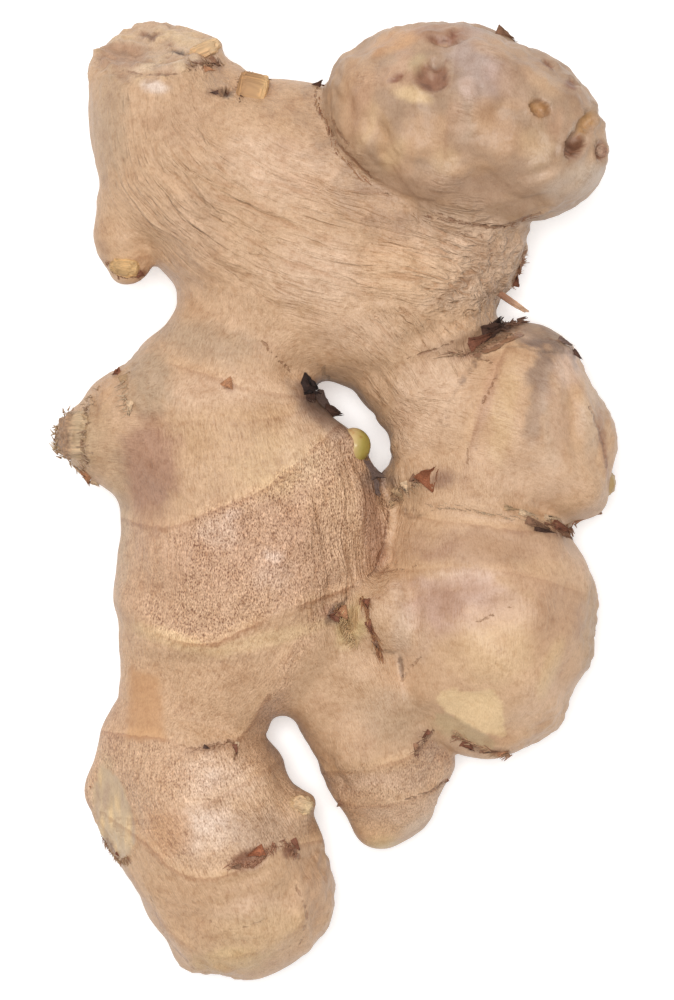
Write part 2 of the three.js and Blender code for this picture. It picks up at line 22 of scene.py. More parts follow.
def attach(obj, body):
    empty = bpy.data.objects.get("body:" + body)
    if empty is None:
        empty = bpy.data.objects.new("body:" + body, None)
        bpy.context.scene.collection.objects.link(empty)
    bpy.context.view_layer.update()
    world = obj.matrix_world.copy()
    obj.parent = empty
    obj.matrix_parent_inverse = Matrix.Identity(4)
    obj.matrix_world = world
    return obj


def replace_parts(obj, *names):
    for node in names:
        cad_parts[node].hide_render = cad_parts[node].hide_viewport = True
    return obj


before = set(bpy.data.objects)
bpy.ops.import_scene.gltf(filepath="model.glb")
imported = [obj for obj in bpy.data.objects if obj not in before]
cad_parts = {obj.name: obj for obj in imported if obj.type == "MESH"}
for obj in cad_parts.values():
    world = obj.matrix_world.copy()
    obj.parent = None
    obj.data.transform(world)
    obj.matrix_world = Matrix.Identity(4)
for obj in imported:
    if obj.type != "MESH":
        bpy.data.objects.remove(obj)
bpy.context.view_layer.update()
MM = 0.001

# %% [markdown]
# ## The skeleton
#
# A finger could be sculpted by hand, but then nothing ties one finger to the next. Here each finger is a chain of
# stations along its middle line, each a place with a half width and a half height. A skin is then drawn round all
# the chains at once, so that flesh runs on where a finger grows out of another and folds where two press together.
# Rings are given as lines in plan, each with the share of the full height by which the skin swells at it.

# %% Stations of each finger
FINGERS = {
    "crown": [(-28.0, 68.8, 15.0, 10.6, 10.6), (-28.2, 64.5, 15.3, 10.8, 11.0), (-27.2, 60.0, 15.4, 11.3, 11.8),
              (-24.2, 52.8, 15.2, 13.6, 13.2)],
    "saddle": [(-20.5, 58.5, 15.4, 8.2, 8.6), (-11.0, 56.6, 15.8, 8.2, 9.0), (0.0, 55.0, 16.4, 8.0, 9.6)],
    "body": [(-22.0, 50.6, 15.0, 13.6, 13.4), (-11.6, 46.4, 15.6, 18.2, 15.4), (0.9, 38.9, 16.2, 20.0, 16.0),
             (14.2, 38.2, 16.0, 13.4, 14.4)],
    "knob": [(9.1, 61.2, 25.5, 11.2, 11.6), (17.4, 59.3, 28.0, 14.5, 14.9), (24.4, 57.7, 28.4, 13.7, 14.6),
             (28.8, 55.3, 28.5, 12.8, 14.0)],
    "neck": [(13.4, 37.6, 16.0, 12.4, 13.6), (17.2, 45.6, 19.5, 12.5, 13.0), (20.6, 54.0, 25.0, 12.0, 12.5)],
    "shoulder": [(7.6, 30.4, 15.8, 12.2, 13.2), (13.0, 24.2, 15.2, 11.8, 12.0), (17.4, 17.8, 14.6, 12.9, 12.2),
                 (21.3, 9.4, 14.2, 12.6, 12.6), (21.4, 2.0, 13.8, 13.3, 12.2), (20.8, -3.0, 13.4, 12.9, 11.6)],
    "lobe": [(21.8, 13.8, 14.6, 12.8, 12.8), (27.2, 12.9, 14.6, 14.7, 13.6), (33.0, 7.0, 14.6, 11.0, 11.2)],
    "heel": [(20.8, -4.4, 13.4, 12.8, 11.6), (22.8, -12.0, 14.4, 15.4, 14.0), (24.1, -18.8, 15.0, 16.4, 15.2),
             (23.5, -25.0, 15.0, 14.9, 13.8)],
    "palm": [(-13.6, 26.2, 15.0, 11.4, 12.0), (-17.4, 16.9, 15.2, 13.0, 13.2), (-15.6, 7.8, 15.8, 16.8, 14.9),
             (-13.0, -0.8, 15.8, 19.9, 15.2), (-13.4, -7.0, 15.6, 19.9, 15.0), (-15.0, -14.1, 15.0, 19.0, 14.2),
             (-17.9, -22.7, 14.4, 15.8, 12.8), (-22.6, -33.4, 13.4, 10.9, 11.2), (-23.7, -38.5, 13.4, 12.1, 12.0),
             (-23.2, -44.5, 13.7, 15.0, 13.4), (-20.4, -50.0, 14.0, 15.5, 14.4), (-17.6, -55.6, 14.0, 15.0, 14.0),
             (-15.1, -60.7, 13.6, 14.1, 12.8)],
    "thumb": [(-10.7, -19.1, 14.4, 13.0, 12.0), (0.2, -28.8, 13.0, 9.0, 9.4), (6.5, -37.4, 11.6, 10.1, 9.8),
              (8.3, -43.6, 10.6, 9.0, 8.6), (8.0, -48.4, 10.0, 6.2, 6.2)],
    "left_bud": [(-24.6, 11.8, 15.0, 12.0, 11.5), (-30.2, 11.4, 15.0, 9.6, 9.4), (-36.2, 11.0, 15.2, 6.7, 6.7),
                 (-39.9, 10.0, 15.4, 3.8, 3.8)],
    "crown_bud": [(-29.1, 45.0, 16.5, 6.0, 6.2), (-32.4, 40.6, 17.0, 4.9, 5.0), (-32.4, 36.9, 17.2, 3.6, 3.8)],
    "web": [(8.4, -3.6, 12.0, 4.2, 5.4), (6.8, -10.0, 12.0, 5.4, 6.0), (6.0, -18.0, 13.0, 6.5, 8.4),
            (7.4, -25.0, 13.0, 6.8, 9.2), (11.0, -31.0, 12.4, 4.8, 6.6)],
    "broken_bud": [(10.6, -16.6, 18.0, 7.4, 7.8), (5.4, -18.4, 19.8, 5.8, 6.2), (1.0, -19.4, 21.0, 4.6, 5.0)],
    "eye_bud": [(-6.0, 6.6, 17.6, 6.0, 6.4), (-1.4, 7.6, 18.6, 4.0, 4.4), (1.4, 8.2, 18.8, 2.9, 3.2)],
    "side_bud": [(-7.6, -46.6, 15.0, 3.0, 3.2), (-5.2, -47.0, 15.4, 1.6, 1.7)],
}
RINGS = {  # share of the full height, and the line that the ring draws in plan, with the finger's tip on its right
    "knob": [
        (0.25, [(6.0, 48.1), (3.2, 54.4), (2.1, 60.6), (5.5, 68.4), (9.6, 73.8)]),
        (0.45, [(15.9, 46.1), (16.3, 54.7), (17.4, 62.5), (18.2, 68.8), (19.9, 75.0)]),
    ],
    "lobe": [
        (0.8, [(19.6, 2.5), (20.1, 7.0), (20.9, 10.3), (22.3, 14.4), (24.0, 18.8), (25.7, 23.1), (28.4, 27.8)]),
        (0.5, [(42.3, 1.2), (41.6, 5.5), (40.9, 9.4), (39.6, 13.8), (37.1, 18.1)]),
    ],
    "heel": [
        (0.7, [(7.1, 0.0), (11.2, -1.9), (16.2, -3.1), (21.6, -3.6), (27.1, -4.5), (32.6, -4.4), (39.9, -2.8)]),
        (0.5, [(4.0, -11.4), (9.9, -10.8), (16.2, -10.3), (22.4, -10.5), (30.2, -11.7), (38.8, -14.4)]),
    ],
    "palm": [
        (0.7, [(-34.1, 23.8), (-26.8, 21.6), (-19.0, 19.2), (-13.2, 17.2), (-5.4, 16.2)]),
        (0.5, [(-34.1, 11.2), (-26.0, 12.2), (-17.9, 12.5), (-9.6, 12.8), (-2.9, 15.0)]),
        (0.9, [(-35.7, -1.9), (-26.8, -4.1), (-19.8, -1.7), (-12.4, 1.2), (-7.0, 5.0), (-2.3, 9.4)]),
        (1.5, [(-36.3, -13.4), (-33.5, -16.6), (-29.1, -19.7), (-24.1, -21.7), (-18.8, -21.9), (-14.1, -19.7),
               (-7.3, -16.7), (-0.1, -14.1)]),
        (1.0, [(-38.2, -35.6), (-32.3, -36.4), (-26.5, -36.7), (-22.1, -38.3), (-16.6, -37.7), (-13.5, -34.7),
               (-11.3, -30.9)]),
        (0.6, [(-37.6, -49.2), (-29.9, -49.2), (-25.1, -47.7), (-19.6, -46.4), (-13.5, -43.1), (-7.0, -39.4)]),
        (1.0, [(-34.1, -50.0), (-28.8, -53.4), (-25.1, -57.0), (-20.4, -58.3), (-15.7, -57.2), (-11.3, -55.0),
               (-5.7, -53.4), (-1.0, -52.8)]),
        (0.7, [(-31.0, -59.4), (-28.0, -64.1), (-24.1, -68.4), (-18.2, -70.9), (-11.6, -69.5), (-7.0, -67.0),
               (-4.3, -63.4), (-2.3, -58.8)]),
    ],
    "thumb": [
        (0.9, [(-2.3, -42.5), (2.1, -41.9), (7.6, -40.9), (11.8, -39.4), (14.6, -36.6), (16.8, -33.1)]),
        (0.7, [(-1.3, -46.4), (3.7, -47.5), (9.9, -47.0), (14.6, -45.3), (18.0, -42.5)]),
        (0.5, [(2.4, -50.6), (5.9, -52.8), (10.2, -52.8), (15.2, -49.4)]),
    ],
    "left_bud": [
        (0.7, [(-29.1, 24.7), (-31.3, 18.1), (-32.1, 12.5), (-32.9, 7.0), (-35.4, 1.9)]),
        (0.5, [(-35.7, 18.1), (-36.8, 12.5), (-37.3, 7.8), (-38.8, 2.8)]),
    ],
    "crown_bud": [(0.7, [(-37.3, 38.4), (-34.5, 37.2), (-31.3, 37.8)])],
}
STEPS_A_SPAN = 4
RING_HEIGHT, RING_RISE, RING_DROP = 0.36, 5.0, 1.5
FLESH_BLEND, FOLD_BLEND, SCAR_BLEND = 5.0, 1.4, 1.8
CROTCH_FROM, CROTCH_TO, CROTCH_BLEND = -36.0, -26.0, 1.0
SCARS = {  # a point on the broken face, and the way that it faces
    "crown": ((-27.3, 70.9, 15.5), (-0.14, 0.87, 0.47)),
    "palm": ((-36.4, -48.0, 17.0), (-0.8, -0.05, 0.6)),
    "heel": ((20.9, -32.4, 25.0), (-0.15, -0.6, 0.78)),
    "broken_bud": ((0.9, -19.4, 22.0), (-0.86, -0.1, 0.5)),
}
PITS = [
    (14.4, 65.6, 39.0, 2.9, 1.0), (30.9, 59.8, 41.0, 1.9, 1.1), (37.3, 56.2, 37.0, 2.4, 1.6),
    (-15.6, 64.0, 22.0, 1.6, 1.2),
]
DENTS = [  # dents and, below zero, swellings of the side walls: x, y, half width and depth
    (-38.8, 63.0, 4.0, -0.2), (-38.0, 69.6, 3.0, 0.5), (-37.6, 43.5, 4.5, -0.35), (-17.6, 69.8, 3.4, 0.6),
    (-15.4, 67.2, 2.6, -0.5), (30.8, 70.4, 5.0, 0.4), (41.4, 61.6, 2.2, -0.5), (40.6, 48.6, 4.0, -0.6),
    (34.0, 45.0, 3.0, 0.5), (29.0, 38.5, 3.4, -1.0), (26.4, 30.4, 3.2, 2.0), (33.6, 25.6, 3.2, -0.6),
    (35.8, 23.4, 2.4, -0.5), (40.2, 20.2, 5.0, 1.3), (39.2, -1.0, 4.2, -1.0), (38.6, -29.0, 6.0, 0.5),
    (24.0, -40.2, 3.0, -0.4), (17.6, -42.0, 4.0, -0.5), (14.8, -49.6, 3.6, 0.4), (7.4, -54.2, 3.0, -0.4),
    (-10.2, -34.2, 2.4, 1.8), (-9.0, -37.4, 4.2, 1.2), (-4.6, -36.0, 3.0, -1.0), (-6.2, -43.0, 3.6, 0.6),
    (-4.2, -47.0, 2.2, -0.9), (-2.6, -53.6, 4.4, 0.4), (-2.0, -66.4, 5.4, -0.9), (-23.4, -73.6, 5.0, -1.4),
    (-10.0, -75.2, 4.0, 0.2), (-33.4, -60.4, 5.0, 0.9), (-36.2, -54.0, 4.4, -0.5), (-38.8, -41.0, 4.4, -0.3),
    (-36.6, -35.0, 3.6, 0.4), (-35.0, -29.4, 5.4, -0.6), (-35.4, -15.2, 3.6, -1.0), (-34.4, -2.4, 5.4, -0.3),
    (-38.4, 5.6, 4.4, -1.0), (-39.6, 15.2, 4.0, 0.5), (-33.4, 21.4, 4.4, -0.5), (5.2, 7.4, 2.4, 1.4),
    (4.8, 16.4, 2.6, -1.2), (-1.6, 16.2, 2.0, 5.0), (1.2, 14.4, 2.0, 6.0), (3.6, 12.4, 2.0, 3.0),
    (7.4, 10.2, 2.0, 1.0), (8.2, 3.4, 2.0, -0.8),
]
LUMP_HEIGHT = 0.55
print(len(FINGERS), "fingers and buds,", sum(map(len, FINGERS.values())), "stations,",
      sum(map(len, RINGS.values())), "rings")

# %% [markdown]
# ## A distance for every point of space
#
# One function gives the distance from any point to the skin: below zero in the flesh, above zero in the air. For
# one finger it is the distance to its nearest link less the half width there. Two fingers are joined by taking the
# lower of their two distances, rounded where they are nearly alike, and how wide that rounding is says whether
# flesh runs on or a fold is left.

# %% Distance to one finger
FAR = 40.0
REACH = 9.0  # further out than this, a finger no longer matters


def eased(low, high, value):
    t = np.clip((value - low) / (high - low), 0, 1)
    return t * t * (3 - 2 * t)


def links_of(stations):
    """A finger's middle line on a smooth curve through its stations, as points with their half sizes."""
    last = len(stations) - 1
    points = []
    for i in range(last):
        before, a, b, after = (np.array(stations[k]) for k in (max(i - 1, 0), i, i + 1, min(i + 2, last)))
        for step in range(STEPS_A_SPAN):
            t = step / STEPS_A_SPAN
            points.append((2 * t**3 - 3 * t**2 + 1) * a + (t**3 - 2 * t**2 + t) * (b - before) / 2
                          + (3 * t**2 - 2 * t**3) * b + (t**3 - t**2) * (after - a) / 2)
    points.append(np.array(stations[last]))
    return np.array(points)


def near(stations, pts):
    """Each point's distance to a finger, how far along it lies, and its offsets to the side and up."""
    line = links_of(stations)
    low = (line[:, :3] - line[:, 3:].max(1, keepdims=True)).min(0) - REACH
    high = (line[:, :3] + line[:, 3:].max(1, keepdims=True)).max(0) + REACH
    close = np.nonzero(((pts > low) & (pts < high)).all(1))[0]
    p = pts[close]
    best, which = np.full(len(p), FAR), np.zeros(len(p), int)
    step = np.diff(line, axis=0)
    length = np.linalg.norm(step[:, :3], axis=1)
    begin = np.concatenate([[0], np.cumsum(length)])
    for k in range(len(step)):
        off = p - line[k, :3]
        t = np.clip(off @ step[k, :3] / length[k] ** 2, 0, 1)
        half = line[k, 3] + step[k, 3] * t
        off -= t[:, None] * step[k, :3]
        off[:, 2] *= half / (line[k, 4] + step[k, 4] * t)
        found = np.sqrt((off * off).sum(1)) - half
        closer = found < best
        best[closer], which[closer] = found[closer], k
    off = p - line[which, :3]
    reach = (off * step[which, :3]).sum(1) / length[which] ** 2
    t = np.clip(reach, 0, 1)
    reach = np.clip(reach, np.where(which > 0, 0, -9), np.where(which < len(step) - 1, 1, 9))
    half = line[which, 3] + step[which, 3] * t
    off -= t[:, None] * step[which, :3]
    side = (off[:, 0] * step[which, 1] - off[:, 1] * step[which, 0]) / length[which] / half
    up = off[:, 2] / (line[which, 4] + step[which, 4] * t)
    whole = [np.full(len(pts), fill) for fill in (FAR, 0.0, 0.0, 0.0)]
    for array, values in zip(whole, (best, begin[which] + length[which] * reach, side, up)):
        array[close] = values
    return whole


def past_line(line, x, y):
    """How far a place in plan is past a line, on its right, and before it below zero."""
    line = links_of(line)
    nearest, past = np.full(len(x), FAR), np.full(len(x), FAR)
    for k in range(len(line) - 1):
        (ax, ay), (dx, dy) = line[k], line[k + 1] - line[k]
        length = math.hypot(dx, dy)
        t = ((x - ax) * dx + (y - ay) * dy) / length**2
        t = np.clip(t, 0 if k else -20, 1 if k < len(line) - 2 else 20)
        away = np.hypot(x - ax - t * dx, y - ay - t * dy)
        closer = away < nearest
        nearest[closer] = away[closer]
        past[closer] = (np.sign((x - ax) * dy - (y - ay) * dx) * away)[closer]
    return past


def ring_swelling(rings, pts):
    """The skin swells towards a ring and drops behind it."""
    swelling = np.zeros(len(pts))
    for share, line in rings:
        past = past_line(line, pts[:, 0], pts[:, 1])
        rise = np.exp(np.minimum(past, 0) / RING_RISE)
        swelling += share * np.where(past < 0, rise, np.exp(-(past / RING_DROP) ** 2))
    return RING_HEIGHT * swelling


def blend(a, b, softness):
    close = np.maximum(softness - abs(a - b), 0) / softness
    return np.minimum(a, b) - close * close * softness / 4


def broken(inside, scar, pts):
    at, facing = (np.array(v) for v in SCARS[scar])
    return -blend(-inside, -((pts - at) @ facing), SCAR_BLEND)


def lumps(p):
    x, y, z = p.T
    return LUMP_HEIGHT * (np.sin(0.29 * x + 0.17 * y + 1.3) * np.sin(0.33 * y - 0.21 * z + 0.4)
                          + 0.6 * np.sin(0.51 * x - 0.23 * z + 2.0) * np.sin(0.47 * y + 0.31 * z + 4.1))


def groups(pts):
    """The distances to the three masses that fold against each other, and to each finger in them."""
    d = {}
    for name, stations in FINGERS.items():
        d[name] = near(stations, pts)[0]
        close = d[name] < REACH
        d[name][close] -= ring_swelling(RINGS.get(name, []), pts[close])
    crown = broken(blend(d["crown"], d["saddle"], FLESH_BLEND), "crown", pts)
    hardening = CROTCH_BLEND + (FLESH_BLEND - CROTCH_BLEND) * eased(CROTCH_FROM, CROTCH_TO, pts[:, 1])
    left = blend(broken(d["palm"], "palm", pts), d["thumb"], hardening)
    for name in ("web", "left_bud", "eye_bud"):
        left = blend(left, d[name], FLESH_BLEND)
    left = blend(left, d["side_bud"], FOLD_BLEND)
    left = blend(left, blend(crown, d["body"], FLESH_BLEND), FLESH_BLEND)
    left = blend(left, d["crown_bud"], FOLD_BLEND)
    right = blend(d["body"], d["shoulder"], FLESH_BLEND)
    for other in (d["lobe"], broken(d["heel"], "heel", pts), broken(d["broken_bud"], "broken_bud", pts)):
        right = blend(right, other, FOLD_BLEND)
    raised = blend(d["knob"], d["neck"], FOLD_BLEND)
    return left, right, raised, d


def distance(pts):
    left, right, raised, _ = groups(pts)
    skin = blend(blend(left, right, FOLD_BLEND), raised, FOLD_BLEND) - lumps(pts)
    for px, py, pz, half, deep in PITS:
        skin += deep * np.exp(-((pts - (px, py, pz)) ** 2).sum(1) / half**2)
    for px, py, half, deep in DENTS:
        skin += deep * np.exp(-((pts[:, :2] - (px, py)) ** 2).sum(1) / half**2)
    return skin


print("middle of the palm:", distance(np.array([[-15.0, -5.0, 15.0]])).round(2), "mm from the skin")

# %% [markdown]
# ## The skin as a net
#
# The skin is where that distance is zero. Voxel remeshing could find it, and so could metaballs, but both round
# off folds. A surface net keeps them: a vertex goes in each small cube that the skin crosses, and a quad across
# each cube edge that it crosses. The vertices are then slid onto the skin, evened out, and each quad is split in
# four and slid again, which gives a skin as fine as a piece may be.

# %% Surface net
CELL = 1.29
NET_LOW, NET_HIGH = (-52.0, -83.0, -5.0), (52.0, 83.0, 51.0)
SLOPE_STEP, LEAST_SLOPE = 0.04, 0.2  # how far apart the slope is measured, and the flattest that it counts as
EVENING = 0.6  # how far a point goes towards the middle of its neighbours
LONGEST_SLIDE, JUST_INSIDE = 0.5 * CELL, -0.02 * CELL
PINCH_PASSES = 20


def unpinch(values):
    """Fills a corner wherever the skin would touch itself along an edge, so that the net stays one closed sheet."""
    for _ in range(PINCH_PASSES):
        filled = 0
        for u, v in ((0, 1), (1, 2), (2, 0)):
            cut = [slice(None)] * 3
            square = []
            for du, dv in ((0, 0), (1, 1), (1, 0), (0, 1)):
                part = list(cut)
                part[u] = slice(du, values.shape[u] - 1 + du)
                part[v] = slice(dv, values.shape[v] - 1 + dv)
                square.append(values[tuple(part)])
            inside = [corner < 0 for corner in square]
            for one, other in (((0, 1), (2, 3)), ((2, 3), (0, 1))):
                pinched = inside[one[0]] & inside[one[1]] & ~inside[other[0]] & ~inside[other[1]]
                lower = square[other[0]] < square[other[1]]
                for corner, chosen in ((other[0], pinched & lower), (other[1], pinched & ~lower)):
                    square[corner][chosen] = JUST_INSIDE
                    filled += int(chosen.sum())
        if not filled:
            break
    return values


def surface_net():
    low = np.array(NET_LOW)
    count = np.ceil((np.array(NET_HIGH) - low) / CELL).astype(int)
    axes = [low[a] + CELL * np.arange(count[a] + 1) for a in range(3)]
    grid = np.stack(np.meshgrid(*axes, indexing="ij"), -1).reshape(-1, 3)
    values = unpinch(distance(grid).reshape(count + 1))
    inside = values < 0
    corners = [(i, j, k) for i in (0, 1) for j in (0, 1) for k in (0, 1)]

    def corner(array, c):
        return array[c[0]:count[0] + c[0], c[1]:count[1] + c[1], c[2]:count[2] + c[2]]

    total, crossings = np.zeros((*count, 3)), np.zeros(count)
    for a in corners:
        for axis in range(3):
            if a[axis]:
                continue
            b = tuple(a[k] + (k == axis) for k in range(3))
            va, vb = corner(values, a), corner(values, b)
            crossed = (va < 0) != (vb < 0)
            t = np.where(crossed, va / np.where(crossed, va - vb, 1), 0)
            for k in range(3):
                total[..., k] += crossed * (a[k] + (t if k == axis else 0))
            crossings += crossed
    used = crossings > 0
    number = np.full(count, -1)
    number[used] = np.arange(used.sum())
    places = low + CELL * (np.argwhere(used) + total[used] / crossings[used][:, None])
    quads = []
    for axis in range(3):
        u, v = (axis + 1) % 3, (axis + 2) % 3
        here = [slice(1, -1)] * 3
        ahead = list(here)
        ahead[axis] = slice(2, None)
        crossed = np.argwhere(inside[tuple(here)] != inside[tuple(ahead)]) + 1
        du, dv = np.eye(3, dtype=int)[u], np.eye(3, dtype=int)[v]
        around = [crossed, crossed - du, crossed - du - dv, crossed - dv]
        quad = np.stack([number[tuple(c.T)] for c in around], 1)
        out = inside[tuple(crossed.T)]
        quads.append(np.where(out[:, None], quad, quad[:, ::-1]))
    return places, np.concatenate(quads)


def settle(pts, passes):
    """Slides points onto the skin along the slope of the distance."""
    for _ in range(passes):
        here = distance(pts)
        slope = np.stack([(distance(pts + SLOPE_STEP * np.eye(3)[a]) - here) / SLOPE_STEP for a in range(3)], 1)
        steep = np.maximum((slope**2).sum(1), LEAST_SLOPE)
        pts = pts - np.clip(here / steep, -LONGEST_SLIDE, LONGEST_SLIDE)[:, None] * slope
    return pts


def evened(pts, quads):
    total, count = np.zeros_like(pts), np.zeros(len(pts))
    for a, b in ((0, 1), (1, 2), (2, 3), (3, 0)):
        for one, other in ((a, b), (b, a)):
            np.add.at(total, quads[:, one], pts[quads[:, other]])
            np.add.at(count, quads[:, one], 1)
    return (1 - EVENING) * pts + EVENING * total / count[:, None]


def split_in_four(pts, quads):
    edges = np.sort(np.concatenate([quads[:, [k, (k + 1) % 4]] for k in range(4)]), 1)
    unique, which = np.unique(edges, axis=0, return_inverse=True)
    which = which.reshape(4, -1).T + len(pts)
    middle = np.arange(len(quads)) + len(pts) + len(unique)
    finer = np.concatenate([pts, pts[unique].mean(1), pts[quads].mean(1)])
    parts = [np.stack([quads[:, k], which[:, k], middle, which[:, k - 1]], 1) for k in range(4)]
    return finer, np.concatenate(parts)


net_points, net_quads = surface_net()
for _ in range(3):
    net_points = settle(evened(net_points, net_quads), 1)
skin_points, skin_quads = split_in_four(net_points, net_quads)
skin_points = settle(skin_points, 2)
print(len(net_quads), "quads in the net,", 2 * len(skin_quads), "triangles in the skin")

# %% [markdown]
# ## Grain
#
# Fibres run the length of each finger under the skin, and the dried skin creases along them. The grain could be
# painted, or bent by hand into a UV map. Here every point of the skin gets grain coordinates instead: how far it is
# along its finger, and where round the finger it sits. Noise that is stretched in the first of these then flows
# along every finger. Two sets are kept, so that where one finger grows out of another their grains can cross-fade.

# %% Grain coordinates
GRAIN = {
    "grain_a": [
        [(-28, 74, 15, 11, 11), (-25.5, 56, 15, 13.5, 13), (-17, 47.5, 15, 17, 15), (-4, 41.5, 16, 19, 16),
         (10, 38.5, 16, 17, 15), (24, 34, 16, 12, 13), (30, 31, 16, 10, 11)],
        [(-6, 4, 15, 12, 14), (-4, -10, 15, 12, 14), (-1, -22, 14, 11, 12), (4, -33, 12.5, 10, 10),
         (8, -45, 10.5, 8, 8), (9, -52, 10, 5, 5)],
        [(18, 14, 15, 13, 13), (28, 12, 15, 14, 13.5), (38, 6, 15, 9, 10), (43, 3, 15, 4, 5)],
        [(-22, 12, 15, 12, 12), (-34, 11, 15, 8, 8), (-44, 10, 15, 3, 3)],
        [(-10, 6, 17, 7, 7), (-2, 7.6, 19, 4.5, 4.5), (3, 8.5, 19, 3, 3)],
    ],
    "grain_b": [
        [(-13, 30, 15, 12, 13), (-17, 16, 15, 14, 13.5), (-15, 5, 15.6, 18, 15), (-14, -8, 15.6, 19, 15),
         (-17, -22, 14.6, 16, 13), (-22.5, -34, 13.4, 11.5, 11), (-23, -45, 13.6, 15, 13.5),
         (-19, -53, 14, 15, 14), (-15, -62, 13.6, 14, 12.5), (-13, -74, 13.6, 10, 9)],
        [(2, 36, 16, 14, 14), (10, 28, 15.6, 13, 13), (17, 18, 14.6, 13, 12.4), (21, 6, 14.2, 13, 12.4),
         (21, -4, 13.6, 12.5, 11.6), (23, -14, 14.6, 15.5, 14), (23.8, -24, 15, 15.5, 14.5), (23, -38, 15, 9, 9)],
        [(8, 61, 25, 11, 12), (18, 59, 28, 14.5, 15), (28, 55.5, 28.5, 13, 14), (42, 50, 28, 6, 7)],
    ],
}
GRAIN_ROUND = 14.0  # the half width at which the grain is true to scale
GRAIN_PASSES = 80
FLOWS_APART = 140  # how far apart two flows lie in the noise, so that they never look alike


def spread(values, flow_of):
    """Evens values over the skin, among neighbours that follow the same flow."""
    one, other = skin_quads.ravel(), np.roll(skin_quads, -1, axis=1).ravel()
    same = flow_of[one] == flow_of[other]
    one, other = one[same], other[same]
    count = len(values)
    shared = 1 + np.bincount(one, minlength=count) + np.bincount(other, minlength=count)
    for _ in range(GRAIN_PASSES):
        total = values.copy()
        for k in range(3):
            total[:, k] += np.bincount(one, values[other, k], count) + np.bincount(other, values[one, k], count)
        values = total / shared[:, None]
    return values


grain, owner = {}, {}
for name, flows in GRAIN.items():
    coords, closest = np.zeros((len(skin_points), 3)), np.full(len(skin_points), FAR)
    flow_of = np.zeros(len(skin_points), int)
    for number, flow in enumerate(flows):
        away, along, side, up = near(flow, skin_points)
        mine = away < closest
        closest[mine] = away[mine]
        coords[mine] = np.stack([along + FLOWS_APART * number, GRAIN_ROUND * side, GRAIN_ROUND * up], 1)[mine]
        flow_of[mine] = number
    grain[name], owner[name] = spread(coords, flow_of), closest
grain_mix = eased(-2.5, 2.5, owner["grain_a"] - owner["grain_b"])
print("share of the skin that follows the second grain:", round(float(grain_mix.mean()), 2))

# %% [markdown]
# ## Relief
#
# Between the big forms and the finest grain lie creases and dents of half a millimetre to three millimetres. They
# show in every outline, so they are real relief and not only bump. The body creases along its grain where it dried,
# the knob is dented all over, and the crown's broken face is rough.

# %% Relief of the skin
def normals_of(pts, quads):
    across = np.cross(pts[quads[:, 2]] - pts[quads[:, 0]], pts[quads[:, 3]] - pts[quads[:, 1]])
    total = np.zeros_like(pts)
    for k in range(4):
        np.add.at(total, quads[:, k], across)
    return total / np.maximum(np.linalg.norm(total, axis=1, keepdims=True), 1e-9)


def rough(coords, *stretch, seed=0.0):
    """Smooth noise from -1 to 1 over places; stretch is the size of its lumps, for all three axes or for each."""
    return np.array([noise.noise(Vector(c)) for c in coords / np.array(stretch) + seed])


def spot(x, y, long, wide, turn, pts, ragged=0.18, soft=0.45):
    """1 in the middle of an ellipse in plan and 0 outside it, with a soft and slightly ragged edge."""
    c, s = math.cos(math.radians(turn)), math.sin(math.radians(turn))
    dx, dy = pts[:, 0] - x, pts[:, 1] - y
    r = np.hypot((c * dx + s * dy) / long, (c * dy - s * dx) / wide)
    return 1 - eased(1 - soft, 1 + soft, r + ragged * (blotch + 0.6 * fine_blotch))


def from_scar(scar):
    at, facing = (np.array(v) for v in SCARS[scar])
    return abs((skin_points - at) @ facing)


flat_normals = normals_of(skin_points, skin_quads)
AMID_THE_FLESH = (0, 0, 15)
outward = np.sign((flat_normals * (skin_points - AMID_THE_FLESH)).sum())
flat_normals *= outward
if outward < 0:
    skin_quads = skin_quads[:, ::-1]
blotch = rough(skin_points, 3.0)
fine_blotch = rough(skin_points, 1.2, seed=77.0)
each = groups(skin_points)[-1]
on_knob = eased(0.8, 0.1, each["knob"])
WRINKLED = [  # x, y, half length, half width, turn and share
    (0, 40, 27, 12, -14, 1.0), (-25, 55, 10, 16, 0, 0.6), (22, 37, 10, 9, 20, 0.8), (3, -5, 8, 15, -12, 0.7),
    (13, 20, 9, 11, 0, 0.5), (-15, -12, 18, 16, 0, 0.3), (-20, -50, 14, 14, 0, 0.25),
]
wrinkled = sum(share * spot(x, y, long, wide, turn, skin_points) for x, y, long, wide, turn, share in WRINKLED)
wrinkled *= 1 - on_knob
flow = np.where(grain_mix[:, None] > 0.5, grain["grain_b"], grain["grain_a"])
creases = 2 * np.sqrt(rough(flow, 8.0, 2.7, 2.7, seed=3.1) ** 2 + 0.01) - 0.5
creases += 0.5 * rough(flow, 5.0, 1.6, 1.6, seed=8.4)
dents = 0.3 * rough(skin_points, 6.5, seed=20.0) + 0.7 * rough(skin_points, 3.2, seed=31.0)
dents += 0.32 * rough(skin_points, 1.5, seed=36.0)
uneven = rough(skin_points, 4.5, seed=41.0)
TORN_ABOVE_Y, TORN_BELOW_X = 60, -10  # the crown's broken face lies beyond these
torn_face = eased(0.5, 0.2, from_scar("crown"))
torn_face = torn_face * (skin_points[:, 1] > TORN_ABOVE_Y) * (skin_points[:, 0] < TORN_BELOW_X)
facing_up = eased(-0.5, 0.1, flat_normals[:, 2])
crust = rough(skin_points, 1.5, seed=52.0)
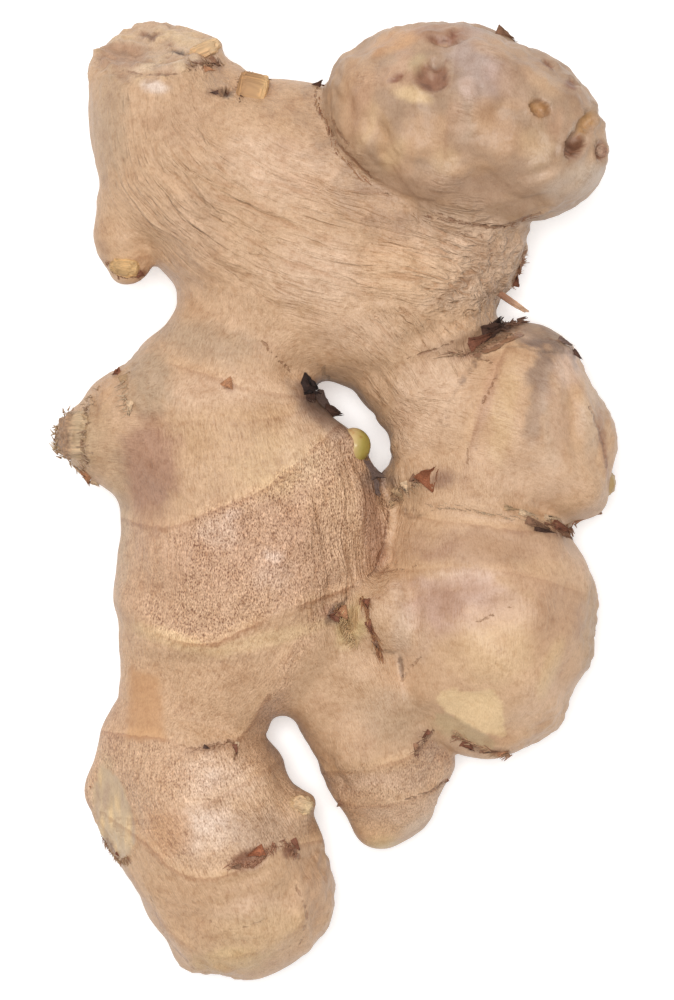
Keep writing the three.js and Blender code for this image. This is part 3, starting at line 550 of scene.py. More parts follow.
CRUMBLED = [  # x, y, half length, half width and turn
    (-17.6, 69.5, 2.6, 3.4, 0), (-36.5, 67.0, 2.5, 5.0, 0), (41.0, 60.0, 2.2, 7.0, -25), (41.5, 13.0, 2.4, 9.0, 0),
    (38.0, 23.0, 4.0, 3.0, -40), (40.0, -21.0, 2.2, 9.0, 0), (33.0, -35.0, 7.0, 3.0, 40),
    (-3.0, -61.0, 3.0, 7.0, 0), (-41.5, 9.0, 3.5, 6.0, 0), (0.5, -43.5, 2.0, 5.0, 25), (16.0, -44.0, 2.6, 5.0, 25),
    (-33.0, 17.0, 3.0, 6.0, 0), (-36.6, -53.0, 2.2, 5.0, 20), (3.0, -20.0, 3.0, 5.0, -20),
    (-20.0, -74.0, 7.0, 2.0, 0),
]
crumbled = np.max([spot(x, y, long, wide, turn, skin_points) for x, y, long, wide, turn in CRUMBLED], axis=0)
SWELLINGS = [  # x, y, half length, half width, turn and height; the knob is folded and lumpy
    (4.4, 57.6, 4.2, 1.5, -69, 0.8), (7.2, 55.0, 4.6, 1.4, -65, -0.8), (9.9, 53.6, 5.0, 1.9, -60, 0.6),
    (20.5, 62.9, 5.5, 3.0, 80, 0.4), (15.6, 54.0, 5.0, 2.2, 80, -0.5), (25.1, 53.7, 4.2, 3.0, 30, 0.35),
    (9.6, 66.2, 2.0, 1.6, 30, 0.5), (31.4, 48.4, 3.2, 1.1, 25, 0.8), (17.0, 70.3, 2.8, 0.9, 12, -0.9),
    (23.0, 47.6, 5.0, 2.0, 10, -0.6), (35.0, 62.4, 3.4, 1.8, -45, 0.6), (13.0, 48.6, 3.0, 1.6, -25, 0.5),
    (8.6, -13.6, 1.6, 3.2, 0, 0.6), (11.6, -16.0, 1.3, 3.4, 10, -0.5), (21.6, -14.6, 5.0, 1.6, 12, 0.5),
    (19.6, 19.6, 2.4, 7.0, -12, 0.4), (31.0, 17.0, 1.2, 6.0, -8, -0.4), (26.4, -2.0, 9.0, 0.9, -10, 0.5),
    (-38.2, 10.0, 0.5, 5.0, 0, 0.5), (-41.0, 9.8, 0.5, 3.4, 0, 0.45), (-29.5, 66.8, 4.5, 0.6, -2, 0.6),
    (-23.2, 67.4, 3.2, 0.6, 12, 0.7), (38.4, 15.0, 1.0, 6.0, 12, 0.6), (36.6, 12.0, 1.0, 6.0, 8, -0.5),
    (-25.0, -67.5, 6.5, 1.0, -60, 0.5), (-5.2, -64.2, 5.5, 0.9, -85, 0.55), (-16.8, -65.4, 6.0, 0.9, -5, -0.35),
    (-14.0, -60.0, 6.0, 0.8, 15, 0.3), (-1.8, -62.0, 1.0, 5.0, 0, 0.4), (17.5, 25.0, 6.5, 1.3, 20, 0.7),
    (2.6, -19.4, 1.3, 3.6, -20, 0.8), (-0.5, -17.6, 1.6, 1.0, -10, 0.6),
]
swollen_up = sum(high * spot(x, y, long, wide, turn, skin_points, soft=0.8)
                 for x, y, long, wide, turn, high in SWELLINGS)
RIMS = [  # old scars drawn as a raised line: x, y, half length, half width, turn, height and half width of the line
    (-33.2, 69.4, 4.1, 2.2, -5, 0.4, 0.5), (24.8, 64.2, 2.5, 3.2, 10, 0.12, 0.35),
    (14.6, 64.6, 2.7, 2.8, 20, 0.35, 0.45), (30.9, 59.6, 2.1, 1.8, -30, 0.3, 0.4),
    (37.0, 55.7, 2.0, 4.2, -20, 0.35, 0.45), (40.3, 53.4, 1.0, 1.7, -10, 0.25, 0.3),
]
rims = np.zeros(len(skin_points))
for x, y, long, wide, turn, high, thick in RIMS:
    rims += high * (spot(x, y, long + thick, wide + thick, turn, skin_points, soft=0.2)
                    - spot(x, y, long - thick, wide - thick, turn, skin_points, soft=0.2))
PITS_IN_SKIN = [  # x, y, half length, half width, turn, depth and tint; the skin stands up a little round each
    (14.7, 64.4, 2.4, 2.3, 0, 0.7, "cork"), (15.4, 66.6, 1.2, 1.0, 30, 0.5, "grey_brown"),
    (30.9, 59.6, 1.7, 1.25, -30, 1.5, "ochre"), (36.2, 54.0, 2.2, 1.2, 65, 2.0, "cork"),
    (38.0, 57.6, 1.9, 1.1, 60, 1.1, "ochre"), (40.4, 53.6, 1.5, 0.8, 80, 0.8, "cork"),
    (16.4, 70.3, 2.5, 0.7, -8, 0.8, "cork"), (17.9, 71.4, 1.2, 0.6, 40, 0.4, "red_brown"),
    (-17.1, 63.1, 0.8, 0.7, 0, 1.1, "dark_brown"), (32.4, 66.8, 1.1, 0.5, -35, 0.5, "cork"),
    (36.0, 63.6, 0.9, 0.5, -50, 0.5, "cork"), (9.2, 64.3, 1.3, 0.4, 12, 0.5, "red_brown"),
    (-33.3, 69.4, 3.4, 1.8, -10, 0.5, "scar_brown"), (2.0, -18.8, 2.2, 1.4, 70, 0.4, "pit_yellow"),
    (-13.5, -55.6, 3.0, 1.2, 15, 0.5, "cork"), (-28.6, 72.6, 0.9, 0.4, 60, 0.3, "brown"),
    (-30.1, 73.0, 0.7, 0.4, -30, 0.3, "brown"), (-26.0, 71.0, 0.8, 0.3, 10, 0.3, "brown"),
    (-24.4, 69.6, 1.4, 0.3, -20, 0.3, "dark_brown"), (-22.0, 67.6, 1.6, 0.6, 20, 0.3, "brown"),
]
pitted = np.zeros(len(skin_points))
for x, y, long, wide, turn, deep, _ in PITS_IN_SKIN:
    inside = spot(x, y, long, wide, turn, skin_points, soft=0.3)
    rim = spot(x, y, long + 0.7, wide + 0.7, turn, skin_points, soft=0.3)
    pitted += facing_up * (0.25 * (rim - inside) - deep * inside * (1 + 0.5 * crust))
CREASED, DENTED, UNEVEN, TORN, CRUMBLY = 0.57, 0.9, 0.25, 0.65, 0.45  # how strong each relief is, in millimetres
relief = CREASED * wrinkled * creases + DENTED * on_knob * dents + UNEVEN * uneven
relief += TORN * torn_face * (crust + 0.6 * dents)
relief += facing_up * (swollen_up + rims * (1 + 0.6 * crust)) + CRUMBLY * crumbled * crust
print("relief from", round(float(relief.min()), 2), "to", round(float(relief.max()), 2), "mm")
skin_points = skin_points + (relief + pitted)[:, None] * flat_normals

# %% [markdown]
# ## Colour, patch by patch
#
# Dried skin is not one colour. It is paler where it is stretched and flakes, pinker where it is thin, greyer where
# soil stayed on, and brown where it broke. A noise would spread all of this evenly, and a real hand of ginger isn't
# even, so each patch is laid in its own place, as a painter of models would, with a soft and ragged edge. A few
# patches are painted light instead: highlights and sheen where light catches the skin, and pale patches that lift
# shade.

# %% Tints and patches
TINTS = {
    # white and sheen are painted highlights, not colours of the skin itself
    "facet_cream": (0.66, 0.46, 0.255), "facet_olive": (0.475, 0.34, 0.21), "highlight_white": (0.82, 0.70, 0.62),
    # lilac and lilac_pale are a lilac cast with painted sheen on it
    "lilac_sheen": (0.41, 0.3, 0.25), "lilac_pale": (0.64, 0.455, 0.36), "rim_brown": (0.36, 0.2, 0.12),
    "cork": (0.27, 0.125, 0.07), "ochre": (0.46, 0.26, 0.115), "scar_brown": (0.42, 0.245, 0.145),
    "bare": (0.45, 0.315, 0.175), "shade_brown": (0.2, 0.125, 0.09), "skin": (0.536, 0.338, 0.198),
    "pale": (0.618, 0.415, 0.273), "sheen": (0.721, 0.531, 0.396), "pale_grey": (0.618, 0.434, 0.317),
    "grey_pale": (0.536, 0.405, 0.299), "cream": (0.639, 0.444, 0.238), "peach": (0.618, 0.396, 0.233),
    "yellow_tan": (0.51, 0.315, 0.172), "tan": (0.412, 0.256, 0.141), "orange": (0.536, 0.304, 0.158),
    "orange_deep": (0.49, 0.265, 0.128), "orange_tan": (0.515, 0.309, 0.172), "orange_pink": (0.484, 0.285, 0.172),
    "pink_brown": (0.433, 0.261, 0.158), "pink_brown_dark": (0.371, 0.203, 0.123),
    "pink_grey": (0.464, 0.299, 0.198), "mauve": (0.465, 0.29, 0.222), "rough": (0.494, 0.294, 0.18),
    "shade": (0.391, 0.241, 0.136), "brown": (0.268, 0.145, 0.088), "brown_grey": (0.443, 0.28, 0.176),
    "grey_brown": (0.412, 0.28, 0.194), "grey_tan": (0.412, 0.28, 0.176), "olive": (0.515, 0.386, 0.229),
    "olive_grey": (0.422, 0.309, 0.185), "cream_olive": (0.567, 0.405, 0.194), "scar": (0.59, 0.41, 0.27),
    "knob_skin": (0.36, 0.229, 0.143), "knob_low": (0.46, 0.285, 0.18), "lobe_grey": (0.28, 0.18, 0.122),
    "dark_grey": (0.19, 0.118, 0.08), "under": (0.371, 0.261, 0.176), "dark_brown": (0.075, 0.035, 0.022),
    "red_brown": (0.22, 0.085, 0.045), "pit_yellow": (0.55, 0.35, 0.17), "rust_tint": (0.33, 0.15, 0.08),
    "crust": (0.33, 0.16, 0.09), "rim_pale": (0.62, 0.45, 0.31),
}
PATCHES = [  # tint, x, y, half length, half width, turn, strength
    ("scar", -29.1, 70.3, 9.4, 4.2, 0, 0.9), ("cream", -24.0, 72.4, 4.4, 1.6, -20, 0.5),
    # the white patch on the crown is a painted highlight
    ("highlight_white", -27.9, 64.0, 2.2, 1.0, -10, 0.55), ("grey_tan", -35.2, 58.6, 2.8, 8.6, 0, 0.6),
    ("pink_brown", -23.8, 58.6, 4.4, 4.4, -30, 0.35), ("brown_grey", -22.0, 41.4, 4.1, 7.0, 0, 0.35),
    ("pale", -8.0, 51.2, 9.7, 5.3, -20, 0.8), ("pale", -2.6, 35.2, 9.4, 4.7, 0, 0.35),
    ("orange", 11.8, 36.2, 9.4, 3.8, 0, 0.55), ("pink_brown", 13.0, 41.9, 9.7, 2.0, -12, 0.55),
    ("pink_brown", 4.9, 44.7, 4.1, 1.9, -30, 0.4), ("peach", 12.5, 36.0, 9.0, 5.0, 0, 0.45),
    ("knob_skin", 20.5, 58.6, 23.5, 17.6, -20, 1.0), ("pink_brown", 16.3, 70.8, 4.4, 2.0, -10, 0.7),
    ("orange", 9.3, 70.6, 4.1, 1.9, 25, 0.9), ("ochre", 7.2, 55.6, 1.7, 5.0, 18, 0.5),
    # the lilac patches on the knob are painted sheen over its lilac cast
    ("orange_tan", 9.4, 52.6, 2.2, 3.6, 20, 0.6), ("lilac_sheen", 20.9, 67.0, 3.4, 6.6, 10, 0.9),
    ("lilac_pale", 19.9, 62.8, 1.2, 2.2, 5, 0.5), ("pale", 9.9, 66.0, 1.9, 1.6, 30, 0.5),
    ("orange_tan", 3.0, 62.6, 2.2, 6.2, -5, 0.7), ("pale", 5.4, 57.2, 0.9, 3.1, -20, 0.4),
    ("knob_low", 17.7, 47.7, 11.2, 2.8, -5, 0.5), ("grey_pale", 36.8, 48.8, 5.0, 2.2, 15, 0.5),
    ("pale", 32.6, 49.8, 2.3, 0.9, 25, 0.5), ("grey_pale", 9.1, 74.2, 6.2, 0.9, 15, 0.5),
    ("grey_tan", -20.5, 24.5, 8.5, 3.0, -10, 0.5), ("pale", -17.4, 16.6, 11.2, 2.7, 0, 0.6),
    ("yellow_tan", -14.3, 7.8, 9.7, 6.6, 0, 1.0), ("pink_brown_dark", -29.1, 4.6, 4.6, 8.4, 0, 1.0),
    ("rough", -12.7, -7.0, 14.4, 5.9, 12, 0.6), ("pale_grey", -17.9, -4.7, 3.1, 2.5, 0, 0.5),
    ("pale_grey", -9.5, -11.2, 3.4, 2.7, 0, 0.5), ("olive_grey", -34.1, -3.1, 2.2, 10.3, 0, 0.4),
    ("orange", -29.9, -30.9, 3.1, 6.2, 0, 0.3), ("shade", -21.3, -24.2, 9.4, 1.1, 0, 0.4),
    ("pale", -19.0, -43.0, 6.6, 4.1, 0, 0.5), ("sheen", -20.5, -50.9, 4.4, 3.6, 15, 0.65),
    ("orange_pink", -26.3, -51.6, 3.8, 3.8, 0, 0.6), ("grey_brown", -11.6, -51.2, 5.3, 3.1, 0, 0.5),
    ("orange_tan", -5.7, -56.6, 2.3, 3.4, 0, 0.4), ("olive", -35.4, -48.4, 2.7, 7.8, 12, 0.5),
    ("orange", -38.0, -42.2, 1.2, 2.8, 0, 0.6), ("grey_tan", 8.7, -33.8, 5.6, 4.1, -20, 0.5),
    ("yellow_tan", 5.5, -41.4, 6.6, 1.2, 5, 0.6), ("pink_grey", 7.6, -47.2, 7.2, 3.1, 0, 0.4),
    ("cream_olive", 7.6, -53.6, 2.7, 1.1, 0, 0.8), ("grey_pale", 12.4, -51.4, 3.4, 1.2, 35, 0.5),
    ("tan", 10.2, 10.9, 2.2, 9.7, 0, 0.1), ("orange_tan", 25.5, 9.7, 5.3, 7.8, 0, 0.65),
    ("lobe_grey", 31.4, 17.6, 1.7, 8.4, -4, 0.9), ("dark_grey", 33.4, 24.6, 4.4, 2.4, -25, 1.0),
    ("dark_grey", 30.0, 27.2, 1.6, 1.4, 0, 0.7), ("brown_grey", 29.4, 26.4, 2.8, 1.6, 0, 0.6),
    # the pale grey down the lobe's right edge, at 40.2, 15.9, is partly crumbled skin and partly painted rim light
    ("grey_pale", 40.2, 15.9, 1.9, 7.5, -10, 0.5), ("tan", 10.4, 1.2, 2.8, 2.0, 0, 0.6),
    ("pink_brown", 23.0, -7.3, 13.0, 2.6, 0, 0.85), ("mauve", 18.5, -16.4, 9.0, 4.1, 0, 0.75),
    # the pale lilac on the heel is a painted highlight
    ("lilac_pale", 19.4, -12.2, 5.6, 1.2, 8, 0.5), ("pink_brown_dark", 18.0, -16.2, 1.9, 2.2, 0, 0.75),
    ("pink_brown_dark", 16.0, -13.6, 1.6, 1.6, 0, 0.5), ("peach", 25.5, -22.7, 7.2, 6.6, 0, 0.65),
    ("pink_brown", 34.9, -16.9, 4.7, 4.7, 0, 0.65), ("grey_tan", 39.6, -21.9, 1.4, 9.7, 0, 0.6),
    ("bare", 18.5, -36.1, 4.2, 1.1, -25, 0.7), ("pale", 11.5, -21.6, 2.8, 4.7, 0, 0.4),
    ("grey_pale", 10.2, -19.5, 1.6, 6.2, 0, 0.3), ("red_brown", 14.0, 62.9, 1.1, 0.6, -10, 0.7),
    ("red_brown", 15.9, 66.6, 0.9, 0.6, 30, 0.7), ("brown", 14.6, 64.6, 2.2, 2.1, 0, 0.45),
    ("red_brown", 15.6, 63.2, 1.3, 0.7, 10, 0.6), ("bare", 12.6, 66.4, 1.4, 1.8, 0, 0.6),
    ("facet_cream", 11.4, 61.9, 3.0, 1.2, -18, 0.8), ("red_brown", 9.3, 64.3, 1.2, 0.3, 10, 0.8),
    ("red_brown", 17.7, 70.9, 0.9, 0.5, 50, 0.7), ("red_brown", 16.2, 70.3, 2.6, 0.8, -6, 0.95),
    ("dark_brown", 16.6, 70.0, 1.6, 0.3, -8, 0.6), ("orange_tan", 3.4, 60.0, 2.4, 6.6, -5, 0.5),
    ("rim_pale", 30.8, 59.6, 2.3, 2.3, 0, 0.5), ("crust", 30.9, 59.7, 1.7, 1.2, -30, 0.9),
    ("pit_yellow", 29.9, 60.3, 0.8, 0.6, 0, 0.7), ("rim_pale", 37.2, 55.7, 1.9, 4.4, -20, 0.5),
    ("brown", 36.3, 54.0, 1.1, 2.0, -20, 0.95), ("dark_brown", 35.8, 53.7, 0.6, 1.2, -20, 0.6),
    ("pit_yellow", 38.3, 58.0, 0.9, 1.6, -20, 0.9), ("pit_yellow", 36.9, 54.9, 0.5, 1.4, -20, 0.8),
    ("red_brown", 40.3, 53.4, 0.6, 1.4, -10, 0.7), ("red_brown", 32.3, 66.9, 0.9, 0.5, -40, 0.6),
    ("red_brown", 35.8, 63.5, 0.8, 0.5, -50, 0.6), ("mauve", 24.8, 64.2, 2.3, 2.7, 0, 0.35),
    ("brown", -33.5, 69.4, 3.9, 2.2, 0, 0.35), ("red_brown", -36.3, 69.5, 0.6, 1.6, -15, 0.35),
    ("pink_brown", 22.0, 54.5, 9.4, 4.7, 0, 0.35), ("orange_tan", 28.2, 53.7, 2.8, 1.6, 0, 0.4),
    ("pale", 25.1, 53.7, 1.9, 2.2, 30, 0.25), ("pale", 11.3, 56.8, 1.6, 3.1, -30, 0.25),
    ("orange_tan", 14.4, 53.7, 4.7, 1.9, -20, 0.4), ("pit_yellow", -33.0, 35.8, 2.0, 1.1, -10, 0.6),
    ("brown", -36.3, 39.1, 0.9, 1.6, 20, 0.4), ("red_brown", -30.2, 35.3, 0.8, 0.6, 0, 0.8),
    ("dark_brown", -17.1, 63.1, 0.8, 0.6, 0, 0.95), ("brown", -18.4, 63.1, 1.9, 0.6, 5, 0.6),
    ("red_brown", -19.0, 67.8, 1.4, 0.6, -30, 0.45), ("crust", -3.2, 16.9, 2.5, 1.9, 0, 0.7),
    ("dark_brown", -2.3, 17.5, 1.4, 1.1, 0, 0.85), ("shade_brown", 6.2, 3.0, 2.6, 1.9, 0, 0.8),
    ("shade_brown", -2.6, 13.6, 5.0, 2.3, -40, 0.85), ("brown", 20.9, 25.0, 6.9, 1.2, 22, 0.45),
    ("dark_brown", 26.8, 27.3, 2.8, 1.2, 25, 0.8), ("brown", 15.7, 3.1, 1.7, 1.2, 20, 0.6),
    ("red_brown", 4.0, -18.0, 0.6, 2.8, -25, 0.7), ("cream_olive", 2.4, -19.1, 2.0, 3.6, -20, 0.85),
    ("crust", 4.2, -17.0, 0.7, 1.6, -20, 0.5), ("crust", -0.7, -17.5, 1.6, 1.1, -10, 0.6),
    ("orange_tan", 25.5, -36.7, 2.8, 1.2, -20, 0.5), ("brown", 21.2, -38.3, 1.6, 0.8, -35, 0.6),
    ("brown", 25.5, -39.2, 1.9, 0.6, -10, 0.6), ("brown", -19.0, -38.1, 4.1, 0.8, 8, 0.45),
    ("brown", -13.5, -55.6, 2.8, 1.4, 15, 0.7), ("red_brown", -11.6, -54.7, 1.6, 0.8, 30, 0.7),
    ("red_brown", -7.1, -54.1, 0.9, 1.6, -40, 0.7), ("brown", 13.7, -37.8, 1.9, 1.9, 50, 0.35),
    ("cream_olive", -5.4, -47.3, 1.4, 1.1, 0, 0.7), ("red_brown", -16.5, 17.5, 1.1, 0.8, -40, 0.55),
    ("brown", 32.9, -4.7, 3.4, 0.9, -15, 0.55), ("brown", -35.9, -54.7, 1.9, 0.6, -60, 0.6),
    # the pale patch at -3.2, 7.8 is painted light that lifts the shade on the palm beside the eye
    ("pale", 2.6, 26.0, 7.0, 3.4, -10, 0.5), ("pale", -3.2, 7.8, 4.6, 5.6, 30, 0.8),
    ("peach", 0.0, -3.4, 4.4, 7.8, 10, 0.8), ("pale", 8.4, -46.6, 6.2, 2.8, -10, 0.7),
    ("sheen", -19.0, -43.6, 5.0, 3.4, 0, 0.35), ("pale", 14.6, 15.6, 4.7, 7.8, -10, 0.6),
    ("pale", 31.0, 4.0, 7.0, 4.4, 0, 0.7), ("cream", 24.6, -23.4, 6.2, 4.4, 0, 0.35),
    ("pale", 31.6, -31.6, 4.7, 3.1, 40, 0.5), ("olive", -39.8, 9.6, 3.1, 5.0, 0, 0.5),
    ("orange_tan", -36.6, 15.2, 1.4, 3.4, -20, 0.6), ("brown", -42.4, 9.2, 1.2, 2.4, 0, 0.6),
    ("grey_tan", -29.0, 18.4, 3.6, 5.0, 0, 0.9), ("pale", 20.0, 36.2, 9.4, 6.4, 0, 0.85),
    ("rim_brown", 37.0, 52.4, 0.8, 0.8, 0, 0.6), ("orange_tan", 25.6, 15.6, 3.4, 4.7, 0, 0.45),
    ("pink_brown", 22.0, 12.0, 0.7, 9.4, -14, 0.5), ("pink_brown_dark", 41.4, 9.0, 0.6, 6.0, 8, 0.6),
    ("cream", 26.0, 14.4, 2.0, 8.0, -8, 0.4), ("grey_pale", 33.6, 12.6, 1.9, 7.2, 0, 0.4),
    # the pale lilac on the lobe is a lilac cast with painted sheen on it
    ("lilac_pale", 36.0, 20.6, 2.2, 3.1, 0, 0.5), ("cream", -8.6, 5.8, 7.0, 4.4, 20, 0.3),
    # the white patches on the finger are painted highlights
    ("highlight_white", -19.4, -43.0, 1.4, 2.2, -20, 0.15), ("highlight_white", -19.6, -49.6, 2.4, 1.6, 20, 0.2),
    ("orange_pink", 33.4, -22.0, 3.4, 7.0, 10, 0.35), ("rough", -4.0, -8.6, 5.6, 7.8, -30, 0.4),
    ("cream", -11.0, -21.6, 9.0, 1.2, 14, 0.5), ("cream", -26.0, -21.4, 6.6, 1.2, -16, 0.5),
    ("orange_pink", 9.0, 64.6, 2.8, 2.0, 0, 0.6), ("bare", 12.6, 66.6, 1.5, 1.5, 0, 0.7),
    ("cream", 4.6, 57.6, 1.2, 3.6, -15, 0.4), ("cream", 8.8, 53.0, 1.3, 2.6, -30, 0.35),
    ("orange_tan", 13.5, 56.0, 3.2, 3.4, 0, 0.5), ("orange_tan", 24.8, 55.8, 3.4, 4.2, 0, 0.45),
    ("cream", 30.6, 54.0, 2.4, 3.4, 0, 0.25), ("peach", 31.4, 63.8, 3.0, 1.6, -40, 0.5),
    ("orange_tan", 26.8, 60.2, 1.8, 1.0, 0, 0.5), ("grey_pale", 38.2, 50.4, 2.2, 2.6, 0, 0.6),
    ("pink_grey", 22.6, 70.4, 4.0, 1.0, -5, 0.6), ("cream", 16.4, 51.4, 2.2, 2.0, 0, 0.25),
    ("orange_tan", 20.4, 50.4, 3.0, 1.2, 10, 0.5), ("brown", -42.4, 10.0, 0.8, 1.3, 0, 0.6),
    ("tan", -37.0, 10.4, 2.2, 5.6, 0, 0.55), ("pink_brown_dark", 5.6, -4.6, 1.7, 6.5, 8, 0.75),
    ("rim_pale", -29.5, 67.0, 4.4, 0.7, -2, 0.7), ("rim_pale", -23.2, 67.6, 3.2, 0.7, 12, 0.7),
    ("orange_pink", 30.0, -12.6, 6.0, 1.6, -25, 0.5), ("cream", 33.0, -26.0, 1.2, 5.0, -20, 0.5),
    ("pale", 37.6, -9.0, 2.4, 4.0, 0, 0.5), ("pink_grey", 13.4, -20.0, 1.0, 4.6, 0, 0.4),
    ("sheen", 17.6, -11.2, 3.0, 0.6, 8, 0.4), ("sheen", 9.2, -14.0, 1.2, 1.6, 0, 0.4),
    ("orange_tan", -24.0, -62.0, 4.0, 5.0, -20, 0.5), ("pale", -13.0, -63.0, 5.0, 2.2, 10, 0.5),
    ("cream_olive", -16.0, -71.6, 6.0, 2.0, 5, 0.4), ("orange_tan", -3.6, -62.0, 1.6, 6.0, 0, 0.5),
    ("red_brown", 22.6, 23.6, 4.0, 0.8, 24, 0.6), ("rust_tint", -14.2, -55.6, 2.6, 1.1, 15, 0.7),
    ("pale", 20.6, 35.4, 8.0, 5.0, 0, 0.7), ("peach", 11.4, 35.0, 7.0, 3.4, 0, 0.7),
    ("pale", 30.2, 11.6, 3.0, 5.4, 0, 0.3), ("orange_pink", 23.4, 16.4, 1.0, 6.4, -16, 0.8),
    ("orange_pink", 34.4, 12.4, 1.6, 6.0, 6, 0.5), ("grey_tan", 34.4, 25.8, 4.6, 1.6, -20, 0.5),
    ("orange_tan", -35.0, 17.6, 3.0, 2.2, 20, 0.4), ("orange_deep", -26.2, -51.4, 3.2, 3.2, 0, 0.6),
    ("grey_tan", -20.2, 25.2, 8.0, 2.0, -8, 0.4), ("pink_brown", 25.6, -7.0, 5.0, 2.2, 0, 0.4),
    ("yellow_tan", 7.4, -46.6, 5.0, 2.0, 0, 0.4), ("pink_brown_dark", 16.2, -8.0, 3.4, 1.0, 20, 0.6),
    ("brown", 16.4, 3.4, 2.0, 1.6, 10, 0.6), ("orange_pink", 10.4, 68.0, 1.8, 1.2, 20, 0.6),
    ("orange_tan", 24.6, 69.0, 3.4, 1.4, -10, 0.5), ("pink_brown", 29.4, 66.4, 2.4, 2.0, -20, 0.4),
    ("orange_tan", 22.4, 58.6, 2.0, 2.6, 15, 0.5), ("grey_pale", 19.4, 56.4, 1.3, 2.0, 0, 0.4),
    ("orange_pink", 33.2, 57.4, 1.2, 2.6, -15, 0.6), ("shade_brown", -3.6, 15.2, 1.6, 1.2, 0, 0.7),
    ("pink_brown_dark", 16.0, 71.6, 5.0, 1.5, -6, 0.6), ("pink_brown_dark", 3.6, 60.4, 1.8, 4.6, -5, 0.5),
    ("pale", -2.6, 34.4, 6.4, 4.4, 0, 0.6), ("orange_tan", 25.5, -7.2, 5.4, 1.8, 0, 0.5),
    # the pale patch at 9.9, 12.6 is painted light that lifts the shade on the eye's rim
    ("orange_tan", 35.0, -17.4, 3.4, 3.6, 0, 0.4), ("pale", 9.9, 12.6, 1.6, 4.4, 0, 0.5),
    ("yellow_tan", 7.6, -52.4, 4.0, 1.4, 0, 0.6), ("shade_brown", -0.8, 12.2, 3.6, 1.6, -34, 0.7),
    # the white patches on the palm are painted highlights
    ("pink_grey", 0.6, 9.6, 1.6, 2.0, 0, 0.5), ("highlight_white", -15.6, -2.0, 1.6, 0.8, 20, 0.2),
    ("highlight_white", -9.6, -8.6, 2.0, 0.8, -20, 0.2), ("pink_brown", 25.5, -7.2, 6.4, 2.2, 0, 0.45),
    ("pink_brown", 35.0, -17.2, 3.4, 3.6, 0, 0.35), ("brown", 16.2, 71.2, 3.6, 1.0, -6, 0.4),
    ("orange_pink", 18.4, 58.0, 1.4, 3.0, 10, 0.4), ("pink_grey", 27.2, 62.4, 2.2, 3.0, 15, 0.5),
    ("orange_pink", -34.6, -34.0, 3.1, 4.7, 0, 0.5), ("cream", -12.0, -67.0, 7.0, 3.4, 10, 0.3),
    ("brown_grey", -3.4, -60.0, 2.2, 6.6, 0, 0.4),
]
FACETS = [  # tint, strength, height of the rim, softness of the edge, and the corners in plan
    ("orange_deep", 0.85, 0.0, 0.7, [(-32.0, -26.4), (-27.6, -27.6), (-26.6, -36.9), (-32.6, -37.0)]),
    ("facet_olive", 0.85, 0.12, 0.2, [(-36.6, -41.4), (-33.8, -43.3), (-32.1, -46.9), (-31.0, -51.6),
        (-32.0, -55.0), (-34.1, -56.3), (-36.8, -52.3), (-38.0, -46.1)]),
    ("facet_cream", 1.0, 0.15, 0.2, [(16.2, -29.4), (24.0, -29.4), (25.7, -31.6), (26.2, -36.7), (22.4, -35.9),
        (18.0, -33.4), (15.7, -31.3)]),
    ("bare", 0.85, 0.0, 0.2, [(15.4, -33.1), (18.0, -33.4), (22.4, -35.9), (25.1, -37.8), (24.0, -38.8),
        (18.5, -36.7), (15.5, -34.7)]),
]
BANDS = [  # the stretch between two rings: finger, the two rings, tint, strength, how pored it is
    ("palm", 0, 1, "skin", 0.0, 0.3), ("palm", 1, 2, "yellow_tan", 0.2, 0.4), ("palm", 2, 3, "rough", 0.45, 1.0),
    ("palm", 3, 4, "orange_tan", 0.25, 0.5), ("palm", 4, 5, "rough", 0.3, 0.75),
    ("palm", 5, 6, "grey_brown", 0.1, 0.65), ("palm", 6, 7, "yellow_tan", 0.3, 0.35),
    ("thumb", 0, 1, "pink_grey", 0.5, 0.8), ("thumb", 1, 2, "tan", 0.1, 0.7),
]


def in_facet(corners, pts):
    """How far outside a facet with these corners, clockwise in plan; below zero inside."""
    outside = np.full(len(pts), -FAR)
    for (ax, ay), (bx, by) in zip(corners, corners[1:] + corners[:1]):
        length = math.hypot(bx - ax, by - ay)
        outside = np.maximum(outside, ((pts[:, 1] - ay) * (bx - ax) - (pts[:, 0] - ax) * (by - ay)) / length)
    return outside


BAND_REACH = 24  # a band is looked for this near its two rings


def between_rings(name, first, second):
    past, before = (past_line(RINGS[name][ring][1], *skin_points[:, :2].T) for ring in (first, second))
    others = np.min([far for other, far in each.items() if other not in (name, "web", "eye_bud")], axis=0)
    on_finger = eased(0.8, -0.8, each[name] - others) * eased(2.5, 1.0, each[name])
    uneven_past, uneven_before = past + 1.2 * blotch + 0.8 * fine_blotch, before + 1.2 * blotch + 0.8 * fine_blotch
    close_by = (abs(past) < BAND_REACH) & (abs(before) < BAND_REACH)
    return close_by * on_finger * eased(-1.0, 1.0, uneven_past) * eased(1.6, -1.6, uneven_before)


tint = np.tile(TINTS["skin"], (len(skin_points), 1))
pored = 0.3 - 0.25 * on_knob
WORN_SIDE = (-31.0, -6.0, 6.5, 13.0, 0)  # where the palm is worn smooth: x, y, half length, half width and turn
SPECKLED, SPECKLED_EDGE, PATCH_EDGE = ("lobe_grey", "dark_grey"), 0.8, 0.35  # and how ragged their edges are
SMOOTH = {"knob": 1.0, "heel": 0.55, "lobe": 0.5, "shoulder": 0.2, "crown": 0.25, "thumb": 0.2, "crown_bud": 0.5}
smooth_skin = np.max([share * eased(0.8, 0.1, each[name]) for name, share in SMOOTH.items()], axis=0)


def lay(name, weight):
    tint[:] += weight[:, None] * (np.array(TINTS[name]) - tint)


